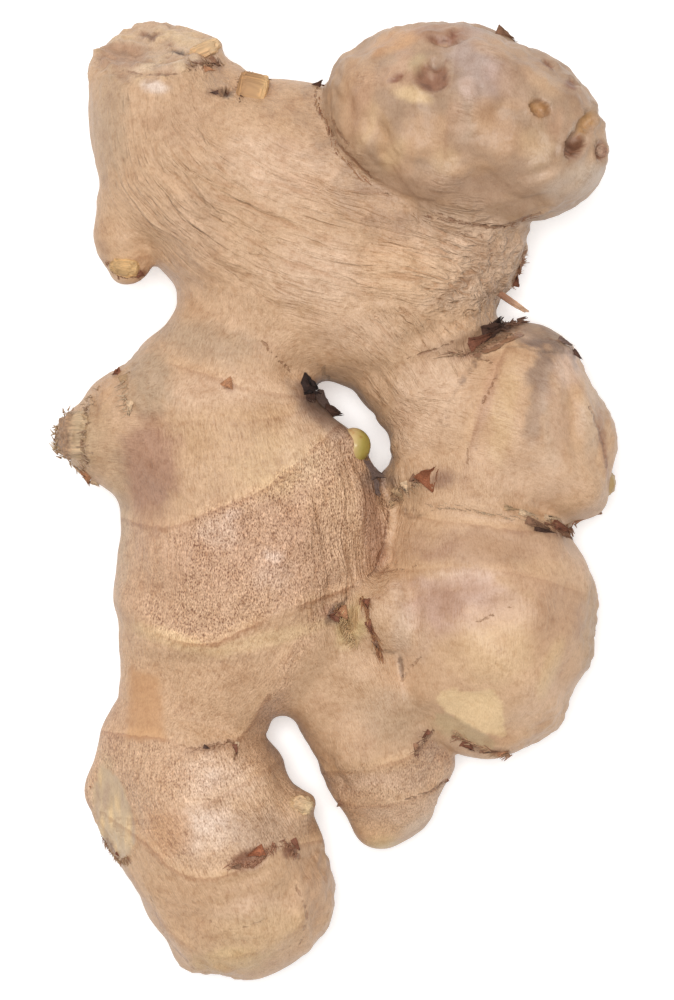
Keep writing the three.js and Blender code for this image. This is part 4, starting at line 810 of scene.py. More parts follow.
for name, first, second, colour, strength, pores in BANDS:
    band = facing_up * between_rings(name, first, second)
    lay(colour, strength * band)
    pored += band * (pores - pored)
pored *= 1 - 0.45 * spot(*WORN_SIDE, skin_points, ragged=0.5)
for name, x, y, long, wide, turn, strength in PATCHES:
    edge = SPECKLED_EDGE if name in SPECKLED else PATCH_EDGE
    lay(name, strength * facing_up * spot(x, y, long, wide, turn, skin_points, ragged=edge))
lay("brown_grey", 0.7 * torn_face * eased(0.1, -0.4, crust))
lay("cream", 0.3 * torn_face * eased(0.0, 0.5, crust))
for x, y, long, wide, turn, high, thick in RIMS:
    inner = spot(x, y, long - thick, wide - thick, turn, skin_points, soft=0.25)
    lay("rim_brown", 2.0 * high * facing_up * (spot(x, y, long, wide, turn, skin_points, soft=0.25) - inner))
for x, y, long, wide, turn, deep, colour in PITS_IN_SKIN:
    inside = facing_up * spot(x, y, long, wide, turn, skin_points, soft=0.2)
    lay(colour, 0.9 * inside)
    lay("dark_brown", 0.5 * inside * eased(0.0, 0.5, fine_blotch) * min(deep, 1))
    lay("rim_pale", 0.25 * inside * eased(-0.2, -0.6, fine_blotch))
streaks = rough(skin_points, 0.7, 5.0, 5.0, seed=61.0)
for name, strength, rim, edge, corners in FACETS:
    outside = in_facet(corners, skin_points) + 0.35 * fine_blotch
    inside = facing_up * eased(edge, -edge, outside)
    lay(name, strength * inside)
    lay("cream", 0.8 * inside * eased(0.1, 0.4, streaks) * (name == "facet_olive"))
    lay("grey_brown", 0.7 * inside * eased(-0.1, -0.5, streaks) * (name == "facet_olive"))
    pored *= 1 - inside
    smooth_skin = np.maximum(smooth_skin, 0.9 * inside)
    if rim:
        skin_points += (facing_up * rim * np.exp(-(outside / 0.3) ** 2))[:, None] * flat_normals
# greyer and darker on the steep and down-facing sides
lay("under", 0.5 * eased(0.45, -0.3, flat_normals[:, 2]))
print(len(PATCHES), "patches,", len(FACETS), "facets; mean tint", tint.mean(0).round(3))

# %% [markdown]
# ## Lines on the skin
#
# Rings, cracks and the painted shade along folds are thin lines, thinner than the net's quads. Painting them on
# vertices would blur them.
# Storing the distance to the line keeps them sharp, because a distance runs smoothly over a quad and the finish
# cuts it off where it likes.

# %% Distances to rings, cracks and the folds that get painted shade
CRACKS = [  # half width, darkness, and the line in plan
    (0.08, 0.68, [(-3.4, 61.2), (-1.8, 58.6), (0.1, 55.0), (2.1, 52.8), (3.7, 51.2), (5.5, 49.5)]),
    (0.08, 0.59, [(-2.6, 64.7), (-3.2, 63.1), (-3.4, 61.2)]),
    (0.06, 0.59, [(-1.0, 59.4), (0.5, 56.2), (1.8, 54.7)]),
    (0.05, 0.68, [(13.8, 44.7), (16.2, 43.8), (18.5, 42.8), (21.6, 42.3), (24.8, 42.0), (27.4, 42.8),
        (31.3, 44.2)]),
    (0.05, 0.59, [(-11.6, 24.7), (-9.6, 22.3), (-7.7, 20.5), (-6.3, 19.1)]),
    (0.11, 0.77, [(8.5, 0.0), (7.7, -4.2), (7.1, -7.3), (6.0, -10.5), (5.2, -11.7)]),
    (0.05, 0.4, [(5.2, -11.4), (8.4, -10.9), (12.3, -10.3)]),
    (0.05, 0.68, [(10.7, 21.7), (13.8, 22.8), (16.2, 23.6), (18.0, 24.4)]),
    (0.275, 0.77, [(20.9, 22.5), (24.0, 23.3), (26.3, 24.7), (28.7, 25.8)]),
    (0.08, 0.68, [(-24.5, -37.7), (-23.2, -38.1), (-21.8, -38.6)]),
    (0.09, 0.77, [(-20.5, -38.1), (-18.5, -37.7), (-16.3, -37.2)]),
    (0.08, 0.68, [(-15.9, -37.8), (-15.4, -39.1), (-15.9, -40.3)]),
    (0.09, 0.77, [(15.2, -35.8), (14.3, -36.6), (13.8, -37.3)]),
    (0.07, 0.77, [(12.7, -38.1), (12.1, -38.8), (12.3, -39.8)]),
    (0.05, 0.68, [(17.3, -43.9), (14.6, -45.5), (10.7, -46.7)]),
    (0.15, 0.68, [(-35.9, -52.5), (-35.1, -54.4), (-34.1, -55.9)]),
    (0.1, 0.77, [(32.6, -3.1), (34.9, -4.1), (37.3, -5.5)]),
    (0.08, 0.59, [(39.3, 14.4), (40.7, 10.9), (41.5, 7.8), (42.1, 5.0)]),
    (0.06, 0.59, [(32.6, 25.0), (34.9, 24.7), (36.5, 23.9), (37.6, 22.5)]),
    (0.05, 0.59, [(21.5, -18.8), (23.0, -18.3), (24.3, -17.8)]), (0.05, 0.59, [(26.0, -16.9), (26.8, -16.6)]),
    (0.06, 0.42, [(10.2, -28.1), (11.2, -26.2), (13.0, -24.4)]),
    (0.06, 0.68, [(-20.5, -46.7), (-19.6, -46.2), (-18.7, -45.6)]),
    (0.07, 0.68, [(-19.1, 63.3), (-17.9, 63.1), (-16.8, 63.0)]),
    (0.175, 0.77, [(-15.1, -56.6), (-13.5, -56.6), (-11.6, -55.5), (-10.7, -54.4)]),
    (0.15, 0.77, [(-7.3, -53.4), (-6.3, -54.4), (-5.7, -55.5)]),
    (0.06, 0.59, [(20.9, 22.2), (23.4, 21.6), (25.1, 20.0), (24.1, 18.0), (22.4, 15.0)]),
    (0.06, 0.51, [(20.2, 7.8), (20.1, 4.7), (19.9, 3.4)]),
    (0.05, 0.42, [(19.0, 41.2), (21.6, 40.9), (23.2, 39.7), (24.3, 37.2)]),
    (0.05, 0.4, [(-28.9, -61.5), (-26.6, -68.0), (-22.2, -73.0)]),
    (0.05, 0.45, [(-6.6, -59.0), (-4.6, -64.4), (-5.7, -69.2)]),
    (0.04, 0.35, [(-22.2, -62.8), (-17.4, -66.6), (-11.0, -65.0)]),
    (0.1, 0.7, [(-33.4, 66.6), (-29.1, 65.9), (-25.7, 65.9), (-22.1, 66.6), (-19.4, 67.2)]),
    (0.1, 0.7, [(-39.2, 14.2), (-39.8, 10.8), (-39.3, 7.2), (-38.5, 5.2)]),
]
NO_LINE_NEAR = 9.0  # the distance where no line is near
ON_FINGER = 0.6  # a ring is kept on skin that is this near its own finger
UNDERSIDE = -0.1  # skin that faces down more than this has no cracks
ring_past, ring_share = np.full(len(skin_points), NO_LINE_NEAR), np.zeros(len(skin_points))
for name, rings in RINGS.items():
    mine = each[name] < ON_FINGER
    for share, line in rings:
        past = past_line(line, *skin_points[mine, :2].T)
        closer = abs(past) < abs(ring_past[mine])
        chosen = np.nonzero(mine)[0][closer]
        ring_past[chosen] = past[closer]
        ring_share[chosen] = share * eased(ON_FINGER, 0.0, each[name][chosen]) * eased(3.0, 2.2, abs(past[closer]))
crack, crack_dark = np.full(len(skin_points), NO_LINE_NEAR), np.zeros(len(skin_points))
for half, dark, line in CRACKS:
    away = abs(past_line(line, *skin_points[:, :2].T))
    ends = np.array([line[0], line[-1]])
    middle = ends.mean(0)
    beyond = np.hypot(*(skin_points[:, :2] - middle).T) - np.hypot(*(ends[1] - ends[0])) / 2
    away = np.maximum(away, beyond) - half + 3 * (flat_normals[:, 2] < UNDERSIDE)
    closer = away < crack
    crack[closer], crack_dark[closer] = away[closer], dark
MEETINGS = [  # fingers that fold against each other, with a line of painted shade in the fold; the higher the last number, the fainter the shade
    ("palm thumb web", "shoulder heel broken_bud", 0.0), ("knob", "body crown saddle", 0.3), ("lobe", "body", 0.1),
    ("lobe", "shoulder", 0.45), ("shoulder", "heel", 0.5), ("heel", "broken_bud", 0.55), ("left_bud", "palm", 0.5),
    ("side_bud", "palm", 0.4),
]
# how far each point is from a fold between two fingers, where the painted shade goes
fold = np.full(len(skin_points), NO_LINE_NEAR)
for some, others, least in MEETINGS:
    here, there = (np.min([each[name] for name in names.split()], axis=0) for names in (some, others))
    fold = np.minimum(fold, np.maximum(np.maximum(here, there), 0) + least)
print("vertices on a ring:", int((abs(ring_past) < 0.4).sum()), "on a crack:", int((crack < 0).sum()))

# %% [markdown]
# ## From numbers to a mesh
#
# Values that a finish needs are stored on the vertices as attributes, where the renderer can read them.

# %% Mesh helpers
def mesh_piece(name, places, faces):
    """A new object at the origin from places in millimetres."""
    data = bpy.data.meshes.new(name)
    data.from_pydata((np.asarray(places) * MM).tolist(), [], [list(map(int, f)) for f in faces])
    data.polygons.foreach_set("use_smooth", [True] * len(data.polygons))
    obj = bpy.data.objects.new(name, data)
    bpy.context.scene.collection.objects.link(obj)
    return obj


def store(obj, name, values):
    values = np.asarray(values, np.float32)
    kind = "FLOAT" if values.ndim == 1 else "FLOAT_VECTOR"
    attribute = obj.data.attributes.new(name, kind, "POINT")
    attribute.data.foreach_set("value" if values.ndim == 1 else "vector", values.ravel())


skin_points[:, 2] = np.maximum(skin_points[:, 2], 0)
ginger = mesh_piece("ginger_skin", skin_points, skin_quads)
skin_marks = {**grain, "grain_mix": grain_mix, "tint": tint, "wrinkled": wrinkled, "pored": pored,
              "smooth": smooth_skin, "ring_past": ring_past, "ring_share": ring_share, "crack": crack,
              "crack_dark": crack_dark, "fold": fold}
for name, values in skin_marks.items():
    store(ginger, name, values)

# %% Node helpers
def feed(tree, made, values):
    """Gives a node's inputs, by name or by number, these numbers, colours or other nodes' sockets."""
    for key, value in values.items():
        if isinstance(value, bpy.types.NodeSocket):
            tree.links.new(value, made.inputs[key])
        else:
            made.inputs[key].default_value = value
    return made


def node(tree, kind, **inputs):
    """A node whose named inputs are numbers, colours or other nodes' sockets; other names are its settings."""
    made = tree.nodes.new(kind)
    for name, value in inputs.items():
        key = name.replace("_", " ")
        if hasattr(made, name) and key not in made.inputs:
            setattr(made, name, value)
        else:
            feed(tree, made, {key: value})
    return made


def sums(tree, operation, a, b=0.0, c=0.0):
    return feed(tree, node(tree, "ShaderNodeMath", operation=operation), {0: a, 1: b, 2: c}).outputs[0]


def new_material(name):
    material = bpy.data.materials.new(name)
    material.use_nodes = True
    return material, material.node_tree, material.node_tree.nodes["Principled BSDF"]


# %% [markdown]
# ## The finish of the skin
#
# Ginger skin is a thin, dry, satin bark. Close up it shows fibres that run lengthwise, short dark dashes and pores
# between them, and flakes. Each is a noise in grain coordinates. The colour starts from the patches and is darkened
# or paled by each layer in turn, and the same layers, in millimetres, make the bump. The wrinkles also get painted
# shade in their hollows and painted highlight on their ridges, each ring a painted shadow just behind it, and each
# fold between fingers a line of painted shade.

# %% Layers of the skin
skin_finish, tree, shader = new_material("ginger_skin_finish")


def value_of(name):
    """A number that the vertices carry, in the material being made; so too in the functions below."""
    return node(tree, "ShaderNodeAttribute", attribute_name=name).outputs["Fac"]


def vector_of(name):
    return node(tree, "ShaderNodeAttribute", attribute_name=name).outputs["Vector"]


def stretched(along, round_, shift):
    """Grain coordinates in which a noise of scale 1 has lumps of these sizes, in millimetres."""
    return node(tree, "ShaderNodeMapping", Vector=in_grain, Location=(shift, shift, shift),
                Scale=(1 / along, 1 / round_, 1 / round_)).outputs[0]


def fibres(along, round_, detail=3.0, distortion=0.4, shift=0.0):
    return node(tree, "ShaderNodeTexNoise", Vector=stretched(along, round_, shift), Scale=1.0, Detail=detail,
                Roughness=0.6, Distortion=distortion).outputs["Fac"]


def speckles(along, round_, radius, kept, shift=0.0):
    """Small dashes, scattered; kept is the share of the cells that hold one."""
    cells = node(tree, "ShaderNodeTexVoronoi", Vector=stretched(along, round_, shift), Scale=1.0)
    inside = sums(tree, "SUBTRACT", 1.0, step(cells.outputs["Distance"], radius * 0.5, radius))
    lottery = node(tree, "ShaderNodeSeparateColor", Color=cells.outputs["Color"]).outputs["Red"]
    return sums(tree, "MULTIPLY", inside, sums(tree, "LESS_THAN", lottery, kept))


def step(value, low, high):
    return node(tree, "ShaderNodeMapRange", Value=value, From_Min=low, From_Max=high,
                interpolation_type="SMOOTHSTEP").outputs["Result"]


def times(*values):
    product = values[0]
    for value in values[1:]:
        product = sums(tree, "MULTIPLY", product, value)
    return product


def scaled(value, by, plus):
    return sums(tree, "MULTIPLY_ADD", value, by, plus)


def swing(value):
    """A noise round zero instead of round a half."""
    return sums(tree, "SUBTRACT", value, 0.5)


def mixed(colour, other, weight, blend_type="MIX"):
    made = node(tree, "ShaderNodeMix", data_type="RGBA", blend_type=blend_type)
    return feed(tree, made, {0: weight, 6: colour, 7: (*other, 1)}).outputs[2]


in_mm = node(tree, "ShaderNodeMapping", Scale=(1000, 1000, 1000),
             Vector=node(tree, "ShaderNodeTexCoord").outputs["Object"]).outputs[0]


def cloud(size, detail, shift=0.0):
    moved = node(tree, "ShaderNodeMapping", Vector=in_mm, Location=(shift, shift, shift),
                 Scale=(1 / size, 1 / size, 1 / size)).outputs[0]
    return node(tree, "ShaderNodeTexNoise", Vector=moved, Scale=1.0, Detail=detail, Roughness=0.55).outputs["Fac"]


wrinkled_here, pored_here = value_of("wrinkled"), value_of("pored")
plain = sums(tree, "SUBTRACT", 1.0, value_of("smooth"))
large, small = cloud(5.0, 3.0), cloud(1.0, 4.0, 4.0)
unsure = scaled(swing(small), 0.8, value_of("grain_mix"))
in_grain = feed(tree, node(tree, "ShaderNodeMix", data_type="VECTOR"), {
    0: sums(tree, "GREATER_THAN", unsure, 0.5), 4: vector_of("grain_a"), 5: vector_of("grain_b")}).outputs[1]
fine, coarse = fibres(0.95, 0.25), fibres(8.0, 1.25, 2.0, 0.9, 7.0)
grit = node(tree, "ShaderNodeTexNoise", Scale=1.0, Detail=1.0, Vector=node(
    tree, "ShaderNodeMapping", Vector=in_mm, Scale=(1 / 0.2, 1 / 0.38, 1 / 0.3)).outputs[0]).outputs["Fac"]
dashes = speckles(1.0, 0.4, 0.26, 0.4)
pores = speckles(1.5, 1.0, 0.12, 0.35, 5.0)
print("layers made:", len(tree.nodes), "nodes")

# %% Colour of the skin
colour = vector_of("tint")
grip = times(scaled(pored_here, 0.75, 0.18), plain, scaled(wrinkled_here, -0.65, 1.0))
rugged = scaled(times(step(pored_here, 0.3, 1.05), plain, scaled(large, 1.6, 0.15)), 0.84, 0.16)
calm = scaled(plain, 0.5, 0.5)


def ragged(name, by):
    """The distance to a line that is ragged by about so many millimetres."""
    return sums(tree, "ADD", value_of(name), times(swing(small), by))


past_ring, ring_here = ragged("ring_past", 1.2), value_of("ring_share")
lip = times(step(past_ring, -1.8, -0.2), step(past_ring, 0.3, 0.0), ring_here)
# the skin just past each ring, where it drops, gets a painted shadow
behind = times(step(past_ring, 0.0, 0.2), step(past_ring, 1.2, 0.3), ring_here)
for other, weight in [  # a tone to multiply by, and where
    ((0.80, 0.71, 0.64), times(step(large, 0.5, 0.72), 0.55)),
    ((1.08, 1.09, 1.12), times(step(large, 0.5, 0.3), 0.6)),
    ((1.12, 1.13, 1.16), times(step(small, 0.5, 0.66), calm, 0.6)),
    ((0.81, 0.72, 0.64), times(step(small, 0.5, 0.34), calm, 0.55)),
    ((1.25, 1.28, 1.32), times(step(fine, 0.5, 0.68), grip)),
    ((0.64, 0.52, 0.44), times(step(fine, 0.48, 0.32), grip)),
    ((1.42, 1.44, 1.46), times(step(grit, 0.53, 0.68), rugged)),
    ((0.48, 0.35, 0.29), times(step(grit, 0.46, 0.32), rugged)),
    # painted shade in the hollows of the wrinkles, and painted highlight on their ridges
    ((0.80, 0.68, 0.58), times(step(coarse, 0.46, 0.3), wrinkled_here, 0.6)),
    ((1.14, 1.15, 1.17), times(step(coarse, 0.54, 0.68), wrinkled_here, 0.9)),
    ((0.5, 0.36, 0.28), times(dashes, pored_here, plain, 0.7)),
    ((0.34, 0.2, 0.15), times(pores, pored_here, plain, 0.8)),
    ((1.18, 1.2, 1.18), times(lip, 0.75)),
    # painted shadow just past each ring, under the step where the skin drops
    ((0.72, 0.57, 0.47), times(behind, 0.5)),
]:
    colour = mixed(colour, other, weight, "MULTIPLY")
crack_here = times(step(ragged("crack", 0.9), 0.2, -0.05), value_of("crack_dark"))
colour = mixed(colour, (0.22, 0.085, 0.04), times(crack_here, 0.85))
# painted shade, nearly black, in the folds where two fingers press together
colour = mixed(colour, (0.12, 0.06, 0.035), times(step(ragged("fold", 0.8), 0.7, 0.1), 0.8))
tree.links.new(colour, shader.inputs["Base Color"])

# %% Bump and gloss of the skin
one_grain = step(sums(tree, "ABSOLUTE", swing(unsure)), 0.0, 0.15)
height = times(swing(fine), scaled(wrinkled_here, 0.1, 0.14), plain, one_grain)
for layer in (times(swing(grit), rugged, 0.16), times(swing(coarse), wrinkled_here, one_grain, 0.9),
              times(swing(small), 0.14), times(crack_here, -0.25)):
    height = sums(tree, "ADD", height, layer)
bump = node(tree, "ShaderNodeBump", Height=height, Distance=MM, Strength=1.0)
tree.links.new(bump.outputs[0], shader.inputs["Normal"])
gloss = scaled(small, 0.22, 0.38)
tree.links.new(gloss, shader.inputs["Roughness"])
shader.inputs["Specular IOR Level"].default_value = 0.5
ginger.data.materials.append(skin_finish)
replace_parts(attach(ginger, "root"), "ginger_root")
print("skin finish:", len(tree.nodes), "nodes")

# %% [markdown]
# ## Dry scale leaves
#
# Each ring once carried a scale leaf. Most have worn away, and a few torn stubs are left: thin, brown and fibrous,
# with a ragged end. They're one geometry tree with a length, a width, a curl and a tear, because each is the same
# thing grown to another size. A leaf is a thin closed slab, so that it has an edge and can be seen from both sides.

# %% The tree that grows a torn leaf
def geometry_tree(name, source, **sizes):
    """A geometry tree with these named inputs, and the outputs of its group input node."""
    tree = bpy.data.node_groups.new(name, "GeometryNodeTree")
    kinds = {float: "NodeSocketFloat", int: "NodeSocketInt", tuple: "NodeSocketVector",
             bpy.types.Material: "NodeSocketMaterial"}
    if source:
        tree.interface.new_socket("Geometry", in_out="INPUT", socket_type="NodeSocketGeometry")
    for label, value in sizes.items():
        tree.interface.new_socket(label, in_out="INPUT", socket_type=kinds[type(value)]).default_value = value
    tree.interface.new_socket("Geometry", in_out="OUTPUT", socket_type="NodeSocketGeometry")
    return tree, tree.nodes.new("NodeGroupInput").outputs


def end_tree(tree, geometry, finish):
    whole = node(tree, "GeometryNodeRealizeInstances", Geometry=geometry)
    finished = node(tree, "GeometryNodeSetMaterial", Geometry=whole.outputs[0], Material=finish)
    tree.links.new(finished.outputs[0], tree.nodes.new("NodeGroupOutput").inputs[0])


def grown(tree, base=None, **sizes):
    """The mesh that a tree makes with these sizes."""
    carrier = bpy.data.objects.new("carrier", base or bpy.data.meshes.new("seed"))
    bpy.context.scene.collection.objects.link(carrier)
    grower = carrier.modifiers.new("grow", "NODES")
    grower.node_group = tree
    for item in tree.interface.items_tree:
        if item.in_out == "INPUT" and item.name in sizes:
            grower[item.identifier] = sizes[item.name]
    made = bpy.data.meshes.new_from_object(carrier.evaluated_get(bpy.context.evaluated_depsgraph_get()))
    bpy.data.objects.remove(carrier)
    return made


def noise_in(tree, x, y, z, scale=1.0, detail=2.0):
    place = node(tree, "ShaderNodeCombineXYZ", X=x, Y=y, Z=z).outputs[0]
    return node(tree, "ShaderNodeTexNoise", Vector=place, Scale=scale, Detail=detail).outputs["Fac"]


dry_finish, tree, shader = new_material("dry_leaf_finish")
leaf_at = node(tree, "ShaderNodeMapping", Scale=(0.5, 4.0, 4.0), Vector=vector_of("leaf")).outputs[0]
streaks = node(tree, "ShaderNodeTexNoise", Vector=leaf_at, Scale=1.0, Detail=4.0, Roughness=0.7).outputs["Fac"]
pale_streaks = node(tree, "ShaderNodeMapRange", Value=streaks, From_Min=0.5, From_Max=0.7, To_Max=0.8).outputs[0]
dark_streaks = node(tree, "ShaderNodeMapRange", Value=streaks, From_Min=0.5, From_Max=0.3, To_Max=0.8).outputs[0]
colour = mixed(vector_of("tone"), (1.7, 1.6, 1.5), pale_streaks, "MULTIPLY")
colour = mixed(colour, (0.45, 0.4, 0.38), dark_streaks, "MULTIPLY")
tree.links.new(colour, shader.inputs["Base Color"])
bump = node(tree, "ShaderNodeBump", Height=sums(tree, "MULTIPLY", streaks, 0.25), Distance=MM, Strength=1.0)
tree.links.new(bump.outputs[0], shader.inputs["Normal"])
shader.inputs["Roughness"].default_value = 0.62
shader.inputs["Specular IOR Level"].default_value = 0.35

leaf_tree, given = geometry_tree("torn_leaf", False, length=4.0, width=3.0, thick=0.25, curl=0.4, cup=0.25,
                                 tear=0.5, seed=0.0)
slab = node(leaf_tree, "GeometryNodeMeshCube", Size=(1, 1, 1), Vertices_X=14, Vertices_Y=27,
            Vertices_Z=2).outputs[0]
split = node(leaf_tree, "ShaderNodeSeparateXYZ", Vector=node(leaf_tree, "GeometryNodeInputPosition").outputs[0])


def leaf(operation, a, b=0.0):
    return sums(leaf_tree, operation, a, b)


u, v, w = leaf("ADD", split.outputs[0], 0.5), split.outputs[1], split.outputs[2]
u2 = leaf("MULTIPLY", u, u)
ends = noise_in(leaf_tree, 0.0, leaf("MULTIPLY", v, 9.0), given["seed"], 1.0, 2.0)
torn_off = leaf("MULTIPLY", given["tear"], node(leaf_tree, "ShaderNodeMapRange", Value=ends, From_Min=0.3,
                                                From_Max=0.75).outputs[0])
pointed = leaf("SUBTRACT", leaf("SUBTRACT", 1.0, torn_off), leaf("MULTIPLY", leaf("MULTIPLY", v, v), 1.1))
x = leaf("MULTIPLY", leaf("MULTIPLY", u, given["length"]), leaf("MAXIMUM", pointed, 0.12))
side_noise = leaf("SUBTRACT", noise_in(leaf_tree, leaf("MULTIPLY", u, 3.0), leaf("SIGN", v), given["seed"]), 0.5)
narrow = leaf("SUBTRACT", leaf("ADD", 1.0, leaf("MULTIPLY", side_noise, 0.9)), leaf("MULTIPLY", u2, 0.75))
y = leaf("MULTIPLY", leaf("MULTIPLY", v, given["width"]), narrow)
crumple = leaf("MULTIPLY", leaf("SUBTRACT", noise_in(leaf_tree, x, y, given["seed"], 0.8), 0.5), given["cup"])
rise = leaf("MULTIPLY", x, leaf("MULTIPLY", given["curl"], u))
cupped = leaf("MULTIPLY", leaf("MULTIPLY", leaf("MULTIPLY", v, v), 4.0),
              leaf("MULTIPLY", given["cup"], given["width"]))
z = leaf("ADD", leaf("ADD", rise, cupped),
         leaf("ADD", leaf("MULTIPLY", crumple, 4.0), leaf("MULTIPLY", w, given["thick"])))
shaped = node(leaf_tree, "GeometryNodeSetPosition", Geometry=slab,
              Position=node(leaf_tree, "ShaderNodeCombineXYZ", X=x, Y=y, Z=z).outputs[0]).outputs[0]
leaf_place = node(leaf_tree, "ShaderNodeCombineXYZ", X=x, Y=y, Z=given["seed"]).outputs[0]
marked = node(leaf_tree, "GeometryNodeStoreNamedAttribute", data_type="FLOAT_VECTOR", domain="POINT",
              Geometry=shaped, Name="leaf", Value=leaf_place).outputs[0]
end_tree(leaf_tree, marked, dry_finish)
print("torn leaf tree:", len(leaf_tree.nodes), "nodes")

# %% Torn leaves in their places
skin_tree = BVHTree.FromPolygons(skin_points.tolist(), skin_quads.tolist())
OVER_ALL, MIDDLE = 80, 16  # heights above every finger and amid them
LEAF_HIDDEN, LEAF_CUP, LEAF_THICK = 0.12, 0.12, 0.22  # the share of a leaf behind its root, its cup and thickness


def on_skin(x, y):
    """The place on the skin straight under a point in plan, and the way that the skin faces there."""
    place, normal = skin_tree.ray_cast(Vector((x, y, OVER_ALL)), Vector((0, 0, -1)))[:2]
    if place is None:
        place, normal = skin_tree.find_nearest(Vector((x, y, MIDDLE)))[:2]
    return place, normal


def mesh_arrays(mesh):
    places = np.empty(3 * len(mesh.vertices), np.float32)
    mesh.vertices.foreach_get("co", places)
    marks = {}
    for name in ("leaf", "tone"):
        if name in mesh.attributes:
            marks[name] = np.empty(3 * len(mesh.vertices), np.float32)
            mesh.attributes[name].data.foreach_get("vector", marks[name])
            marks[name] = marks[name].reshape(-1, 3)
    return places.reshape(-1, 3), [list(face.vertices) for face in mesh.polygons], marks


def together(name, parts, finish):
    """One object from many (places, faces, leaf coordinates, tones)."""
    places, faces, leafs, tones, start = [], [], [], [], 0
    for part_places, part_faces, part_leaf, part_tone in parts:
        places.append(part_places)
        faces += [[v + start for v in face] for face in part_faces]
        leafs.append(part_leaf)
        tones.append(np.broadcast_to(part_tone, part_places.shape))
        start += len(part_places)
    obj = mesh_piece(name, np.concatenate(places), faces)
    store(obj, "leaf", np.concatenate(leafs))
    store(obj, "tone", np.concatenate(tones))
    obj.data.materials.append(finish)
    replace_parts(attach(obj, "root"), "ginger_root")
    print(name, len(faces), "faces")


